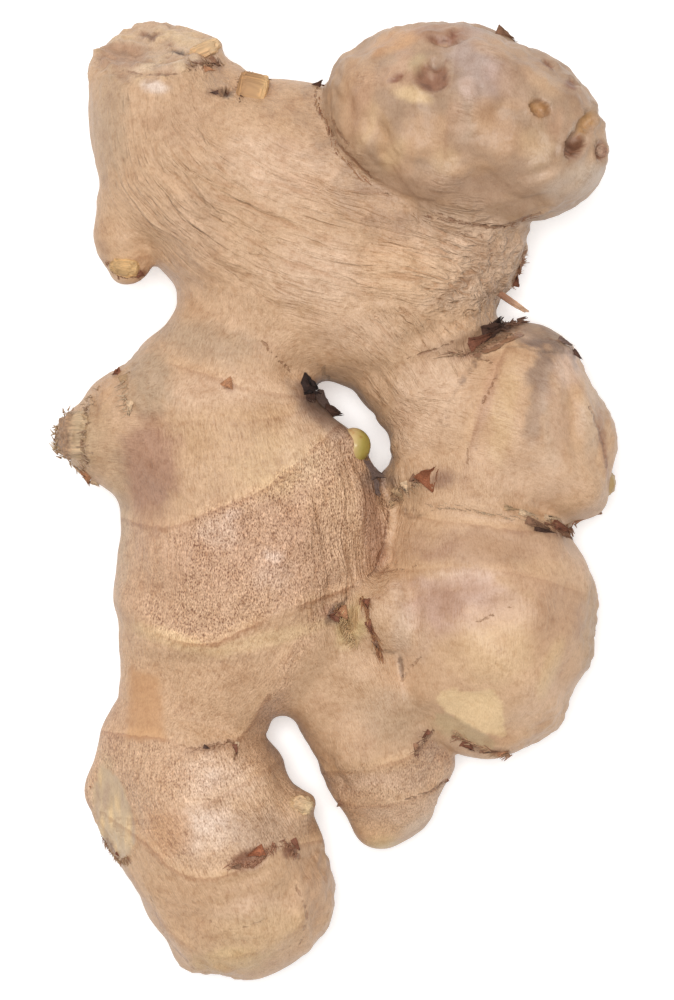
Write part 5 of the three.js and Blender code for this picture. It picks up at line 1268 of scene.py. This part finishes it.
LEAF_TONES = {
    "black": (0.035, 0.018, 0.014), "dark": (0.085, 0.04, 0.026), "red": (0.2, 0.075, 0.04),
    "brown": (0.25, 0.13, 0.075), "orange": (0.42, 0.2, 0.1), "tan": (0.42, 0.27, 0.15), "pale": (0.58, 0.41, 0.26),
    "grey": (0.2, 0.13, 0.105), "rust": (0.32, 0.11, 0.05),
}
LEAVES = [  # x, y of the root, lift, length, width, way it points, rise, curl, tear, tone
    (-5.1, 17.8, 0.2, 4.8, 3.8, -22, 6, 0.15, 0.75, "black"), (-4.8, 16.9, 0.0, 3.4, 3.0, -48, 0, 0.1, 0.7, "dark"),
    (-2.6, 16.2, -1.2, 5.2, 3.2, -42, -6, 0.1, 0.3, "grey"), (-1.2, 14.1, 0.1, 4.0, 2.2, -12, 8, 0.2, 0.6, "dark"),
    (4.0, 4.7, -1.6, 4.8, 3.6, -16, -8, 0.05, 0.3, "grey"), (5.2, 2.5, -1.4, 3.2, 3.0, -50, -4, 0.05, 0.4, "grey"),
    (23.0, 25.9, 0.5, 5.6, 2.6, 24, 14, 0.2, 0.75, "dark"),
    (24.3, 26.6, 0.6, 4.4, 2.0, 50, 16, 0.25, 0.75, "black"), (20.9, 24.2, 0.5, 5.0, 2.2, 26, 2, 0.05, 0.5, "red"),
    (27.7, 34.1, -0.5, 5.2, 1.8, 80, 12, 0.2, 0.7, "red"), (28.2, 35.9, -0.5, 3.2, 1.6, 60, 20, 0.3, 0.7, "brown"),
    (34.0, -3.8, 0.4, 4.0, 1.6, -26, 2, 0.15, 0.7, "red"), (34.9, -4.7, 0.0, 3.6, 1.4, -38, -4, 0.1, 0.7, "brown"),
    (29.9, -3.3, 0.5, 5.2, 1.3, -22, 2, 0.05, 0.7, "brown"), (31.2, -4.4, 0.4, 4.4, 1.0, -14, 2, 0.05, 0.7, "dark"),
    (41.2, -2.2, -2.5, 4.2, 0.7, 196, 0, 0.05, 0.4, "brown"),
    (25.0, 71.9, 0.0, 4.2, 2.6, -22, 4, 0.15, 0.5, "brown"),
    (27.6, 71.4, -0.2, 2.8, 2.0, -30, 4, 0.2, 0.5, "orange"),
    (-39.0, 4.4, -0.8, 3.2, 2.0, -80, -10, 0.1, 0.6, "orange"),
    (-38.0, 3.1, -0.8, 1.9, 1.5, -50, -10, 0.1, 0.6, "pale"),
    (1.2, -17.3, 0.5, 3.8, 2.2, 186, 6, 0.12, 0.6, "orange"), (0.2, -18.1, 0.3, 2.4, 1.6, 172, 4, 0.2, 0.6, "red"),
    (4.6, -15.6, 0.6, 2.0, 1.2, -75, 20, 0.3, 0.5, "red"), (4.9, -19.1, 0.4, 3.0, 1.0, -68, 10, 0.1, 0.7, "red"),
    (5.9, -21.9, 0.4, 2.6, 0.9, -60, 8, 0.1, 0.7, "brown"), (13.7, 2.8, 0.35, 4.4, 3.6, 50, 6, 0.08, 0.2, "rust"),
    (-3.2, 64.4, -0.4, 2.2, 1.4, 40, 12, 0.4, 0.4, "dark"), (-2.0, 64.8, -0.4, 1.6, 1.2, 20, 12, 0.4, 0.4, "red"),
    (-31.0, 35.3, -0.3, 1.9, 1.4, -15, 4, 0.1, 0.5, "red"), (-11.3, 65.6, 0.3, 1.4, 0.8, -5, 6, 0.2, 0.5, "black"),
    (-18.5, 63.0, 0.15, 1.8, 0.8, 180, 3, 0.1, 0.6, "dark"),
    (-17.0, 18.3, 0.15, 2.2, 1.9, -55, 3, 0.05, 0.2, "orange"),
    (19.9, -37.7, 0.2, 3.0, 1.9, -38, -4, 0.1, 0.6, "red"),
    (22.7, -38.8, 0.1, 3.6, 1.3, -10, -4, 0.1, 0.6, "brown"),
    (25.2, -39.4, 0.1, 2.2, 1.0, 10, -4, 0.1, 0.6, "orange"),
    (14.3, -36.1, 0.2, 2.0, 0.9, -140, 2, 0.1, 0.7, "red"),
    (12.4, -38.1, 0.2, 1.8, 0.9, -100, 2, 0.1, 0.7, "brown"),
    (17.3, -43.9, 0.1, 2.2, 0.6, 215, 2, 0.05, 0.7, "red"),
    (-11.6, -54.1, 0.3, 3.4, 1.7, 200, 3, 0.05, 0.3, "rust"),
    (-15.1, -56.6, 0.2, 2.8, 1.0, 180, 2, 0.1, 0.7, "brown"), (-6.6, -52.8, 0.3, 2.6, 1.1, -60, 4, 0.1, 0.4, "red"),
    (-15.4, -37.8, 0.2, 2.8, 0.7, -100, 6, 0.1, 0.6, "pale"),
    (-15.7, -38.1, 0.2, 2.2, 0.9, -80, 4, 0.1, 0.7, "red"), (-20.4, -38.1, 0.2, 1.4, 0.7, -20, 2, 0.1, 0.7, "dark"),
    (-34.1, -55.0, -0.2, 2.2, 0.9, -40, 0, 0.05, 0.7, "red"),
    (-38.2, -44.7, -0.6, 1.4, 0.9, -60, 0, 0.1, 0.5, "red"), (-33.2, 19.1, 0.2, 2.6, 1.6, -70, 3, 0.1, 0.6, "tan"),
    (-32.0, 15.0, 0.2, 3.4, 1.2, -95, 3, 0.05, 0.6, "pale"), (-33.8, 20.0, 0.1, 1.8, 1.4, 200, 4, 0.1, 0.6, "red"),
    (9.3, 1.6, 0.3, 3.6, 1.6, -50, 4, 0.1, 0.7, "tan"), (10.5, 2.5, 0.3, 3.2, 1.2, -70, 4, 0.1, 0.7, "pale"),
    (11.8, 3.4, 0.3, 2.6, 1.4, -30, 6, 0.1, 0.7, "brown"), (8.7, -0.3, 0.2, 2.2, 1.0, -100, 4, 0.1, 0.7, "tan"),
    (32.6, -2.7, 0.5, 3.6, 1.0, -6, 3, 0.05, 0.7, "pale"), (28.7, -1.9, 0.4, 4.0, 1.1, -12, 3, 0.05, 0.7, "pale"),
    (26.3, -1.2, 0.3, 3.4, 0.9, -8, 2, 0.05, 0.7, "tan"), (34.9, 25.0, 0.2, 3.2, 1.1, -25, 2, 0.05, 0.6, "grey"),
    (37.0, 23.1, 0.2, 2.6, 1.0, -45, 2, 0.05, 0.6, "dark"), (-19.5, 68.4, 0.1, 2.8, 1.2, -30, 3, 0.1, 0.6, "brown"),
    (-20.4, 66.9, 0.1, 2.2, 1.0, -10, 3, 0.1, 0.6, "orange"),
    (-0.4, -48.1, -0.3, 1.6, 1.2, 215, 0, 0.2, 0.6, "brown"),
]
leaf_parts = []
for number, (x, y, lift, long, wide, way, up, curl, tear, tone) in enumerate(LEAVES):
    places, faces, marks = mesh_arrays(grown(leaf_tree, length=long, width=wide, curl=curl, tear=tear,
                                             cup=LEAF_CUP, thick=LEAF_THICK, seed=7.3 * number))
    turn = Matrix.Rotation(math.radians(way), 3, "Z") @ Matrix.Rotation(math.radians(-up), 3, "Y")
    foot = np.array(on_skin(x, y)[0]) + (0, 0, lift)
    places = (places - (LEAF_HIDDEN * long, 0, 0)) @ np.array(turn).T + foot
    leaf_parts.append((places, faces, marks["leaf"], LEAF_TONES[tone]))
together("torn_leaves", leaf_parts, dry_finish)

# %% [markdown]
# ## Buds, stumps and a cut root
#
# The small things on the skin are swollen in the same way: a ball drawn long, flattened or squared, and roughened.
# The bud in the eye is the only living green. The stump and the peg are broken stems, squarer and yellow inside.
# The root is a thin one, cut short.

# %% Small swollen forms
def swollen(place, halves, turn, tilt, square, torn, seed):
    """Places, faces and local directions of a ball with these half sizes in millimetres."""
    ball = bmesh.new()
    bmesh.ops.create_icosphere(ball, subdivisions=5, radius=1)
    local = np.array([v.co for v in ball.verts])
    faces = [[v.index for v in face.verts] for face in ball.faces]
    ball.free()
    bulged = np.sign(local) * abs(local) ** square
    bulged *= 1 + torn * rough(local, 0.45, seed=seed)[:, None]
    bulged *= 1 + 0.5 * torn * rough(local, 0.16, seed=seed + 9)[:, None]
    turned = Matrix.Rotation(math.radians(turn), 3, "Z") @ Matrix.Rotation(math.radians(-tilt), 3, "Y")
    return (bulged * halves) @ np.array(turned).T + place, faces, local


SHADE_EDGE, SHADE_SOFT = 0.2, 0.4  # where along a form its tone turns, and over how much of it


def shade_of(local, near_tone, far_tone):
    """From one tone to another along the form's own length."""
    far = eased(SHADE_EDGE - SHADE_SOFT, SHADE_EDGE + SHADE_SOFT, local[:, 0])[:, None]
    return np.array(near_tone) * (1 - far) + np.array(far_tone) * far


SWOLLEN = [  # x, y, lift, half sizes, turn, tilt, squareness, raggedness, tones at the root and the tip
    (-20.6, 70.0, 0.3, (2.5, 1.2, 1.2), 24, 4, 0.7, 0.2, (0.56, 0.36, 0.19), (0.60, 0.41, 0.23)),
    (-32.9, 36.4, -0.7, (2.3, 1.7, 1.7), -12, 0, 0.9, 0.15, (0.50, 0.31, 0.14), (0.55, 0.35, 0.16)),
    (-40.3, 9.9, -2.7, (2.9, 3.8, 3.6), 180, 0, 0.8, 0.2, (0.50, 0.36, 0.22), (0.33, 0.2, 0.12)),
    (-5.4, -47.4, -0.6, (1.7, 1.4, 1.5), -20, 0, 0.8, 0.25, (0.56, 0.38, 0.22), (0.62, 0.45, 0.26)),
    (-13.1, 63.6, 0.0, (2.3, 2.7, 2.2), -14, 0, 0.36, 0.08, (0.40, 0.22, 0.10), (0.62, 0.39, 0.185)),
    (26.8, 31.3, 17.6, (3.6, 0.48, 0.48), -34, 4, 0.85, 0.3, (0.34, 0.17, 0.10), (0.52, 0.33, 0.21)),
    (40.4, 53.4, -0.8, (1.2, 1.5, 1.5), -15, 0, 0.9, 0.2, (0.40, 0.26, 0.18), (0.36, 0.2, 0.13)),
]
ALIVE = [
    # the eye bud's cream left side is partly its own pale colour and partly a painted highlight; its right side is
    # olive green
    (2.6, 8.4, 20.6, (2.7, 2.85, 2.7), -8, 0, 1.0, 0.03, (0.60, 0.42, 0.20), (0.35, 0.27, 0.058)),
    (42.2, 2.6, 14.8, (1.5, 1.9, 1.6), 0, 0, 1.0, 0.12, (0.46, 0.30, 0.16), (0.40, 0.27, 0.12)),
]
HANGS_FREE = 5.0  # a lift above this is a height over the floor


def forms_of(rows):
    parts = []
    for number, (x, y, lift, halves, turn, tilt, square, torn, root, tip) in enumerate(rows):
        height = lift if lift > HANGS_FREE else on_skin(x, y)[0][2] + lift
        places, faces, local = swollen((x, y, height), halves, turn, tilt, square, torn, 5.0 * number)
        parts.append((places, faces, local * halves * 0.5, shade_of(local, root, tip)))
    return parts


wax_finish, tree, shader = new_material("living_bud_finish")
freckles = node(tree, "ShaderNodeTexNoise", Scale=1.6, Detail=2.0, Vector=vector_of("leaf")).outputs["Fac"]
spots_here = node(tree, "ShaderNodeMapRange", Value=freckles, From_Min=0.58, From_Max=0.72, To_Max=0.7).outputs[0]
freckled = mixed(vector_of("tone"), (0.8, 0.5, 0.35), spots_here, "MULTIPLY")
tree.links.new(freckled, shader.inputs["Base Color"])
shader.inputs["Roughness"].default_value = 0.36
together("stumps_and_root", forms_of(SWOLLEN), dry_finish)
together("living_buds", forms_of(ALIVE), wax_finish)

# %% [markdown]
# ## Fringes of torn fibre
#
# Where a leaf or a stem tore away, its fibres are left standing in a row: along the rings, round the broken buds
# and in the folds. One geometry tree lays short tapered fibres along a path on the skin, with their spacing,
# length, spread and two tones as inputs and a fixed seed, because a few thousand of them can't be placed by hand.

# %% The tree that lays fibres along a path
fringe_tree, given = geometry_tree("fringe", True, spacing=0.3, length=1.5, width=0.15, spread=0.3, lift=0.2,
                                   fan=0.4, first=(0.5, 0.34, 0.2), second=(0.25, 0.12, 0.06), seed=1)


def chance(low, high, shift, kind="FLOAT"):
    """A random number for each fibre."""
    made = node(fringe_tree, "FunctionNodeRandomValue", data_type=kind)
    first = 0 if kind == "FLOAT_VECTOR" else 2
    made.inputs[first].default_value, made.inputs[first + 1].default_value = low, high
    fringe_tree.links.new(sums(fringe_tree, "ADD", given["seed"], shift), made.inputs[8])
    return made.outputs[0 if kind == "FLOAT_VECTOR" else 1]


def vectors(operation, a, b):
    made = node(fringe_tree, "ShaderNodeVectorMath", operation=operation)
    return feed(fringe_tree, made, {0: a, (3 if operation == "SCALE" else 1): b}).outputs[0]


def on_path(name):
    return node(fringe_tree, "GeometryNodeInputNamedAttribute", data_type="FLOAT_VECTOR", Name=name).outputs[0]


bar = node(fringe_tree, "GeometryNodeMeshCube", Size=(1, 1, 1), Vertices_X=5, Vertices_Y=2,
           Vertices_Z=2).outputs[0]
parts = node(fringe_tree, "ShaderNodeSeparateXYZ",
             Vector=node(fringe_tree, "GeometryNodeInputPosition").outputs[0]).outputs
reach = sums(fringe_tree, "ADD", parts[0], 0.5)
slim = sums(fringe_tree, "SUBTRACT", 1.0, sums(fringe_tree, "MULTIPLY", reach, 0.75))
bent = node(fringe_tree, "ShaderNodeCombineXYZ", X=reach, Y=sums(fringe_tree, "MULTIPLY", parts[1], slim),
            Z=sums(fringe_tree, "MULTIPLY", parts[2], slim)).outputs[0]
fibre = node(fringe_tree, "GeometryNodeSetPosition", Geometry=bar, Position=bent).outputs[0]
fibre = node(fringe_tree, "GeometryNodeStoreNamedAttribute", data_type="FLOAT_VECTOR", domain="POINT",
             Geometry=fibre, Name="leaf", Value=vectors("SCALE", bent, 0.8)).outputs[0]
path = node(fringe_tree, "GeometryNodeMeshToCurve", Mesh=given["Geometry"]).outputs[0]
roots = node(fringe_tree, "GeometryNodeCurveToPoints", mode="LENGTH", Curve=path,
             Length=given["spacing"]).outputs[0]
scatter = vectors("SCALE", chance((-1, -1, -0.1), (1, 1, 0.1), 1, "FLOAT_VECTOR"), given["spread"])
roots = node(fringe_tree, "GeometryNodeSetPosition", Geometry=roots, Offset=scatter).outputs[0]
mixing = feed(fringe_tree, node(fringe_tree, "ShaderNodeMix", data_type="VECTOR"), {
    0: chance(0.0, 1.0, 2), 4: given["first"], 5: given["second"]})
roots = node(fringe_tree, "GeometryNodeStoreNamedAttribute", data_type="FLOAT_VECTOR", domain="POINT",
             Geometry=roots, Name="tone", Value=mixing.outputs[1]).outputs[0]
strewn = vectors("SCALE", chance((-1, -1, -1), (1, 1, 1), 3, "FLOAT_VECTOR"), given["fan"])
way = vectors("ADD", on_path("out"), strewn)
upright = node(fringe_tree, "FunctionNodeAlignRotationToVector", axis="Z", Vector=on_path("up")).outputs[0]
facing = node(fringe_tree, "FunctionNodeAlignRotationToVector", axis="X", pivot_axis="Z", Rotation=upright,
              Vector=way).outputs[0]
raised_by = node(fringe_tree, "ShaderNodeCombineXYZ",
                 Y=sums(fringe_tree, "MULTIPLY", given["lift"], chance(-1.0, 0.1, 4))).outputs[0]
facing = node(fringe_tree, "FunctionNodeRotateRotation", rotation_space="LOCAL", Rotation=facing,
              Rotate_By=node(fringe_tree, "FunctionNodeEulerToRotation", Euler=raised_by).outputs[0]).outputs[0]
size = chance(0.4, 1.3, 5)
sized = node(fringe_tree, "ShaderNodeCombineXYZ", X=sums(fringe_tree, "MULTIPLY", size, given["length"]),
             Y=sums(fringe_tree, "MULTIPLY", chance(0.5, 1.5, 6), given["width"]), Z=given["width"]).outputs[0]
laid = node(fringe_tree, "GeometryNodeInstanceOnPoints", Points=roots, Instance=fibre, Rotation=facing,
            Scale=sized).outputs[0]
end_tree(fringe_tree, laid, dry_finish)
print("fringe tree:", len(fringe_tree.nodes), "nodes")


# %% Fringes in their places
def path_on_skin(line, lift, turn):
    """A path on the skin under a line in plan, with the way that the skin faces and the way of the fibres."""
    line = links_of(line)
    spots, ups, outs = [], [], []
    for k in range(len(line) - 1):
        way = line[k + 1] - line[k]
        for t in np.linspace(0, 1, 4)[:3]:
            x, y = line[k] + way * t
            place, up = on_skin(x, y)
            spots.append(place + up * lift)
            ups.append(up)
            outs.append(Matrix.Rotation(math.radians(turn), 3, "Z") @ Vector((way[1], -way[0], 0)).normalized())
    return spots, ups, outs


FRINGES = {  # turn away from straight across the line; spacing, length, width, spread, lift and fan of the fibres;
    # their two tones; height over the skin; and the line
    "left_bud_tip": (180, 0.07, 1.2, 0.26, 1.0, 0.1, 0.4, (0.52, 0.37, 0.22), (0.3, 0.17, 0.1), -0.3,
        [(-42.3, 4.7), (-43.2, 7.5), (-43.5, 9.7), (-42.9, 11.9), (-41.6, 13.4)]),
    "left_bud_collar": (180, 0.18, 1.3, 0.2, 1.0, 0.05, 0.3, (0.52, 0.36, 0.23), (0.4, 0.25, 0.16), 0.0,
        [(-39.5, 3.4), (-38.5, 7.0), (-38.8, 10.9), (-38.2, 14.8), (-37.3, 17.2)]),
    "palm_tuft": (200, 0.2, 1.2, 0.2, 0.8, 0.1, 0.5, (0.58, 0.42, 0.27), (0.4, 0.27, 0.17), 0.0,
        [(-32.0, 13.3), (-32.3, 16.4), (-32.6, 19.5)]),
    "broken_bud": (40, 0.05, 1.5, 0.2, 0.7, 0.3, 0.6, (0.64, 0.44, 0.23), (0.5, 0.31, 0.16), 0.0,
        [(0.5, -16.6), (1.2, -18.4), (2.1, -20.3), (3.0, -22.2)]),
    "broken_bud_rim": (-100, 0.08, 1.5, 0.18, 0.35, 0.5, 0.4, (0.3, 0.12, 0.06), (0.5, 0.26, 0.12), 0.1,
        [(6.8, -24.4), (6.2, -21.9), (5.2, -19.4), (4.6, -16.6), (3.7, -15.0)]),
    "lobe_fold": (84, 0.3, 1.3, 0.12, 0.5, 0.1, 0.25, (0.62, 0.45, 0.29), (0.46, 0.3, 0.19), 0.0,
        [(37.3, -4.2), (33.0, -3.8), (28.7, -3.1), (24.0, -2.2), (19.3, -1.2), (14.6, -1.2)]),
    "lobe_fold_dark": (-100, 0.2, 1.5, 0.24, 0.4, 0.3, 0.4, (0.2, 0.09, 0.05), (0.34, 0.17, 0.09), 0.0,
        [(37.7, -4.7), (34.9, -4.1), (31.8, -3.8), (29.9, -3.1)]),
    "shoulder_tissue": (40, 0.12, 1.3, 0.16, 0.9, 0.25, 0.9, (0.52, 0.36, 0.22), (0.36, 0.21, 0.13), 0.0,
        [(9.0, -0.9), (9.6, 0.9), (10.9, 2.2), (13.0, 3.1)]),
    "finger_ring": (-50, 0.25, 1.0, 0.13, 0.25, 0.4, 0.5, (0.34, 0.15, 0.08), (0.5, 0.32, 0.2), 0.0,
        [(-22.4, -38.1), (-20.5, -38.3), (-18.5, -38.0), (-16.3, -37.5), (-15.4, -38.8)]),
    "finger_scab": (-60, 0.06, 1.0, 0.2, 0.5, 0.25, 1.0, (0.34, 0.15, 0.085), (0.46, 0.25, 0.15), 0.0,
        [(-16.6, -56.6), (-14.3, -56.2), (-12.3, -55.6), (-11.0, -54.4), (-9.5, -53.4)]),
    "finger_scab_right": (0, 0.08, 1.1, 0.2, 0.3, 0.3, 0.8, (0.28, 0.12, 0.07), (0.4, 0.21, 0.12), 0.0,
        [(-8.2, -52.8), (-7.3, -53.8), (-6.3, -55.0)]),
    "knob_fold": (88, 0.3, 1.2, 0.16, 0.5, 0.04, 0.12, (0.46, 0.26, 0.14), (0.3, 0.13, 0.07), 0.0,
        [(-2.9, 62.5), (-1.6, 58.8), (0.2, 54.0), (2.4, 51.6), (4.8, 49.1)]),
    "knob_fold_low": (88, 0.34, 1.2, 0.15, 0.3, 0.04, 0.12, (0.42, 0.25, 0.15), (0.28, 0.14, 0.08), 0.0,
        [(13.4, 43.9), (18.5, 42.8), (24.8, 42.0), (30.2, 43.8)]),
    "crown_rim": (80, 0.2, 1.6, 0.18, 0.4, 0.3, 0.6, (0.46, 0.29, 0.17), (0.28, 0.14, 0.08), 0.0,
        [(-17.3, 67.5), (-19.1, 67.8), (-21.0, 67.5), (-22.9, 66.9)]),
    "crown_bud": (70, 0.2, 1.0, 0.15, 0.3, 0.35, 0.6, (0.4, 0.22, 0.12), (0.24, 0.1, 0.06), 0.0,
        [(-35.7, 37.2), (-34.5, 35.6), (-32.6, 34.7), (-30.4, 35.6)]),
    "lobe_top": (-50, 0.07, 1.3, 0.3, 0.5, 0.3, 0.5, (0.09, 0.045, 0.03), (0.2, 0.1, 0.06), 0.0,
        [(29.0, 27.8), (26.8, 27.2), (24.6, 26.2), (22.7, 25.6)]),
    "lobe_fold_top": (84, 0.14, 2.0, 0.16, 0.4, 0.15, 0.4, (0.28, 0.14, 0.08), (0.42, 0.27, 0.16), 0.0,
        [(27.1, 25.6), (24.0, 24.1), (20.5, 22.8), (17.1, 22.5)]),
    "eye_scale": (0, 0.07, 2.0, 0.2, 0.4, 0.4, 0.6, (0.04, 0.02, 0.015), (0.12, 0.06, 0.04), -0.6,
        [(-4.8, 15.6), (-4.1, 16.9), (-3.2, 17.8)]),
    "eye_under": (150, 0.1, 1.2, 0.15, 0.3, 0.3, 0.5, (0.12, 0.07, 0.05), (0.25, 0.15, 0.11), -0.6,
        [(-2.3, 15.0), (-0.4, 13.8), (1.8, 12.5)]),
    "thumb_crust": (80, 0.1, 1.0, 0.15, 0.35, 0.3, 0.8, (0.24, 0.11, 0.07), (0.42, 0.27, 0.17), 0.0,
        [(15.2, -35.8), (14.3, -36.6), (13.2, -38.1), (12.3, -39.7)]),
    "thumb_ring": (60, 0.3, 0.8, 0.12, 0.2, 0.25, 0.6, (0.3, 0.16, 0.1), (0.5, 0.34, 0.22), 0.0,
        [(10.9, -46.4), (13.8, -45.6), (17.3, -43.9)]),
    "heel_flakes": (130, 0.1, 1.4, 0.2, 0.35, 0.4, 0.6, (0.3, 0.13, 0.07), (0.55, 0.37, 0.22), 0.0,
        [(27.1, -39.4), (24.3, -39.1), (21.2, -37.8), (18.5, -36.2)]),
    "heel_edge": (0, 0.25, 0.8, 0.13, 0.2, 0.5, 0.6, (0.16, 0.1, 0.08), (0.36, 0.25, 0.2), -0.5,
        [(34.3, -33.8), (37.4, -30.6), (39.6, -25.0), (40.7, -18.8), (39.9, -13.3)]),
    "stump": (60, 0.4, 0.8, 0.16, 0.3, 0.3, 0.6, (0.12, 0.06, 0.04), (0.36, 0.2, 0.1), 0.0,
        [(-10.7, 65.6), (-12.3, 66.4), (-14.5, 65.9), (-15.2, 63.8), (-14.8, 61.6)]),
    "notch": (0, 0.1, 1.5, 0.15, 0.3, 0.4, 0.5, (0.3, 0.13, 0.07), (0.45, 0.27, 0.16), -0.3,
        [(27.7, 33.8), (28.5, 36.2), (29.0, 38.8)]),
    "facet_foot": (0, 0.12, 1.0, 0.15, 0.3, 0.3, 0.7, (0.28, 0.13, 0.07), (0.5, 0.33, 0.19), 0.0,
        [(-36.6, -52.8), (-35.4, -54.7), (-33.8, -56.2), (-32.3, -55.3)]),
}
fringe_parts = []
for number, fringe in enumerate(FRINGES.values()):
    turn, spacing, long, wide, spread_by, lift, fan, first, second, height, line = fringe
    spots, ups, outs = path_on_skin(line, height, turn)
    base = bpy.data.meshes.new("path")
    base.from_pydata(spots, [(k, k + 1) for k in range(len(spots) - 1)], [])
    for name, values in (("up", ups), ("out", outs)):
        base.attributes.new(name, "FLOAT_VECTOR", "POINT").data.foreach_set("vector", np.array(values).ravel())
    made = grown(fringe_tree, base, spacing=spacing, length=long, width=wide, spread=spread_by, lift=lift, fan=fan,
                 first=first, second=second, seed=number)
    places, faces, marks = mesh_arrays(made)
    fringe_parts.append((places, faces, marks["leaf"], marks["tone"]))
together("fringes", fringe_parts, dry_finish)

# %% Floor, light and camera
floor_data = bpy.data.meshes.new("floor")
floor_data.from_pydata([(-2, -2, 0), (2, -2, 0), (2, 2, 0), (-2, 2, 0)], [], [(0, 1, 2, 3)])
floor = bpy.data.objects.new("floor", floor_data)
bpy.context.scene.collection.objects.link(floor)
floor_finish, tree, shader = new_material("floor_finish")
shader.inputs["Base Color"].default_value = (0.85, 0.85, 0.85, 1)
shader.inputs["Roughness"].default_value = 0.9
shader.inputs["Emission Color"].default_value = (1, 1, 1, 1)
shader.inputs["Emission Strength"].default_value = 0.35
floor.data.materials.append(floor_finish)

world = bpy.data.worlds.new("studio")
world.use_nodes = True
world.node_tree.nodes["Background"].inputs["Color"].default_value = (1, 1, 1, 1)
world.node_tree.nodes["Background"].inputs["Strength"].default_value = 0.45
bpy.context.scene.world = world


AIM = (0, 0, 0.015)


def softbox(name, place, size, power):
    data = bpy.data.lights.new(name, "AREA")
    data.shape, data.size, data.energy = "DISK", size, power
    lamp = bpy.data.objects.new(name, data)
    lamp.location = place
    lamp.rotation_euler = (Vector(AIM) - Vector(place)).to_track_quat("-Z", "Y").to_euler()
    bpy.context.scene.collection.objects.link(lamp)


softbox("overhead", (-0.05, 0.05, 1.35), 0.45, 12.65)
softbox("key", (-0.35, 0.8, 0.8), 0.4, 2.4)

CAMERA_PLANE = 0.016  # the height at which the render is in true scale
CAMERA_HEIGHT, CAMERA_SIDE = 1.0, 0.08 * MM  # over that plane, and to the right
PIXELS_A_MM, RENDER_HEIGHT, SENSOR = 6.4, 1000, 24
camera_data = bpy.data.cameras.new("camera")
camera_data.sensor_fit, camera_data.sensor_height = "VERTICAL", SENSOR
camera_data.lens = SENSOR * CAMERA_HEIGHT / (RENDER_HEIGHT / PIXELS_A_MM * MM)
camera = bpy.data.objects.new("camera", camera_data)
camera.location = (CAMERA_SIDE, 0, CAMERA_PLANE + CAMERA_HEIGHT)
bpy.context.scene.collection.objects.link(camera)
bpy.context.scene.camera = camera
bpy.context.scene.view_settings.view_transform = "Standard"
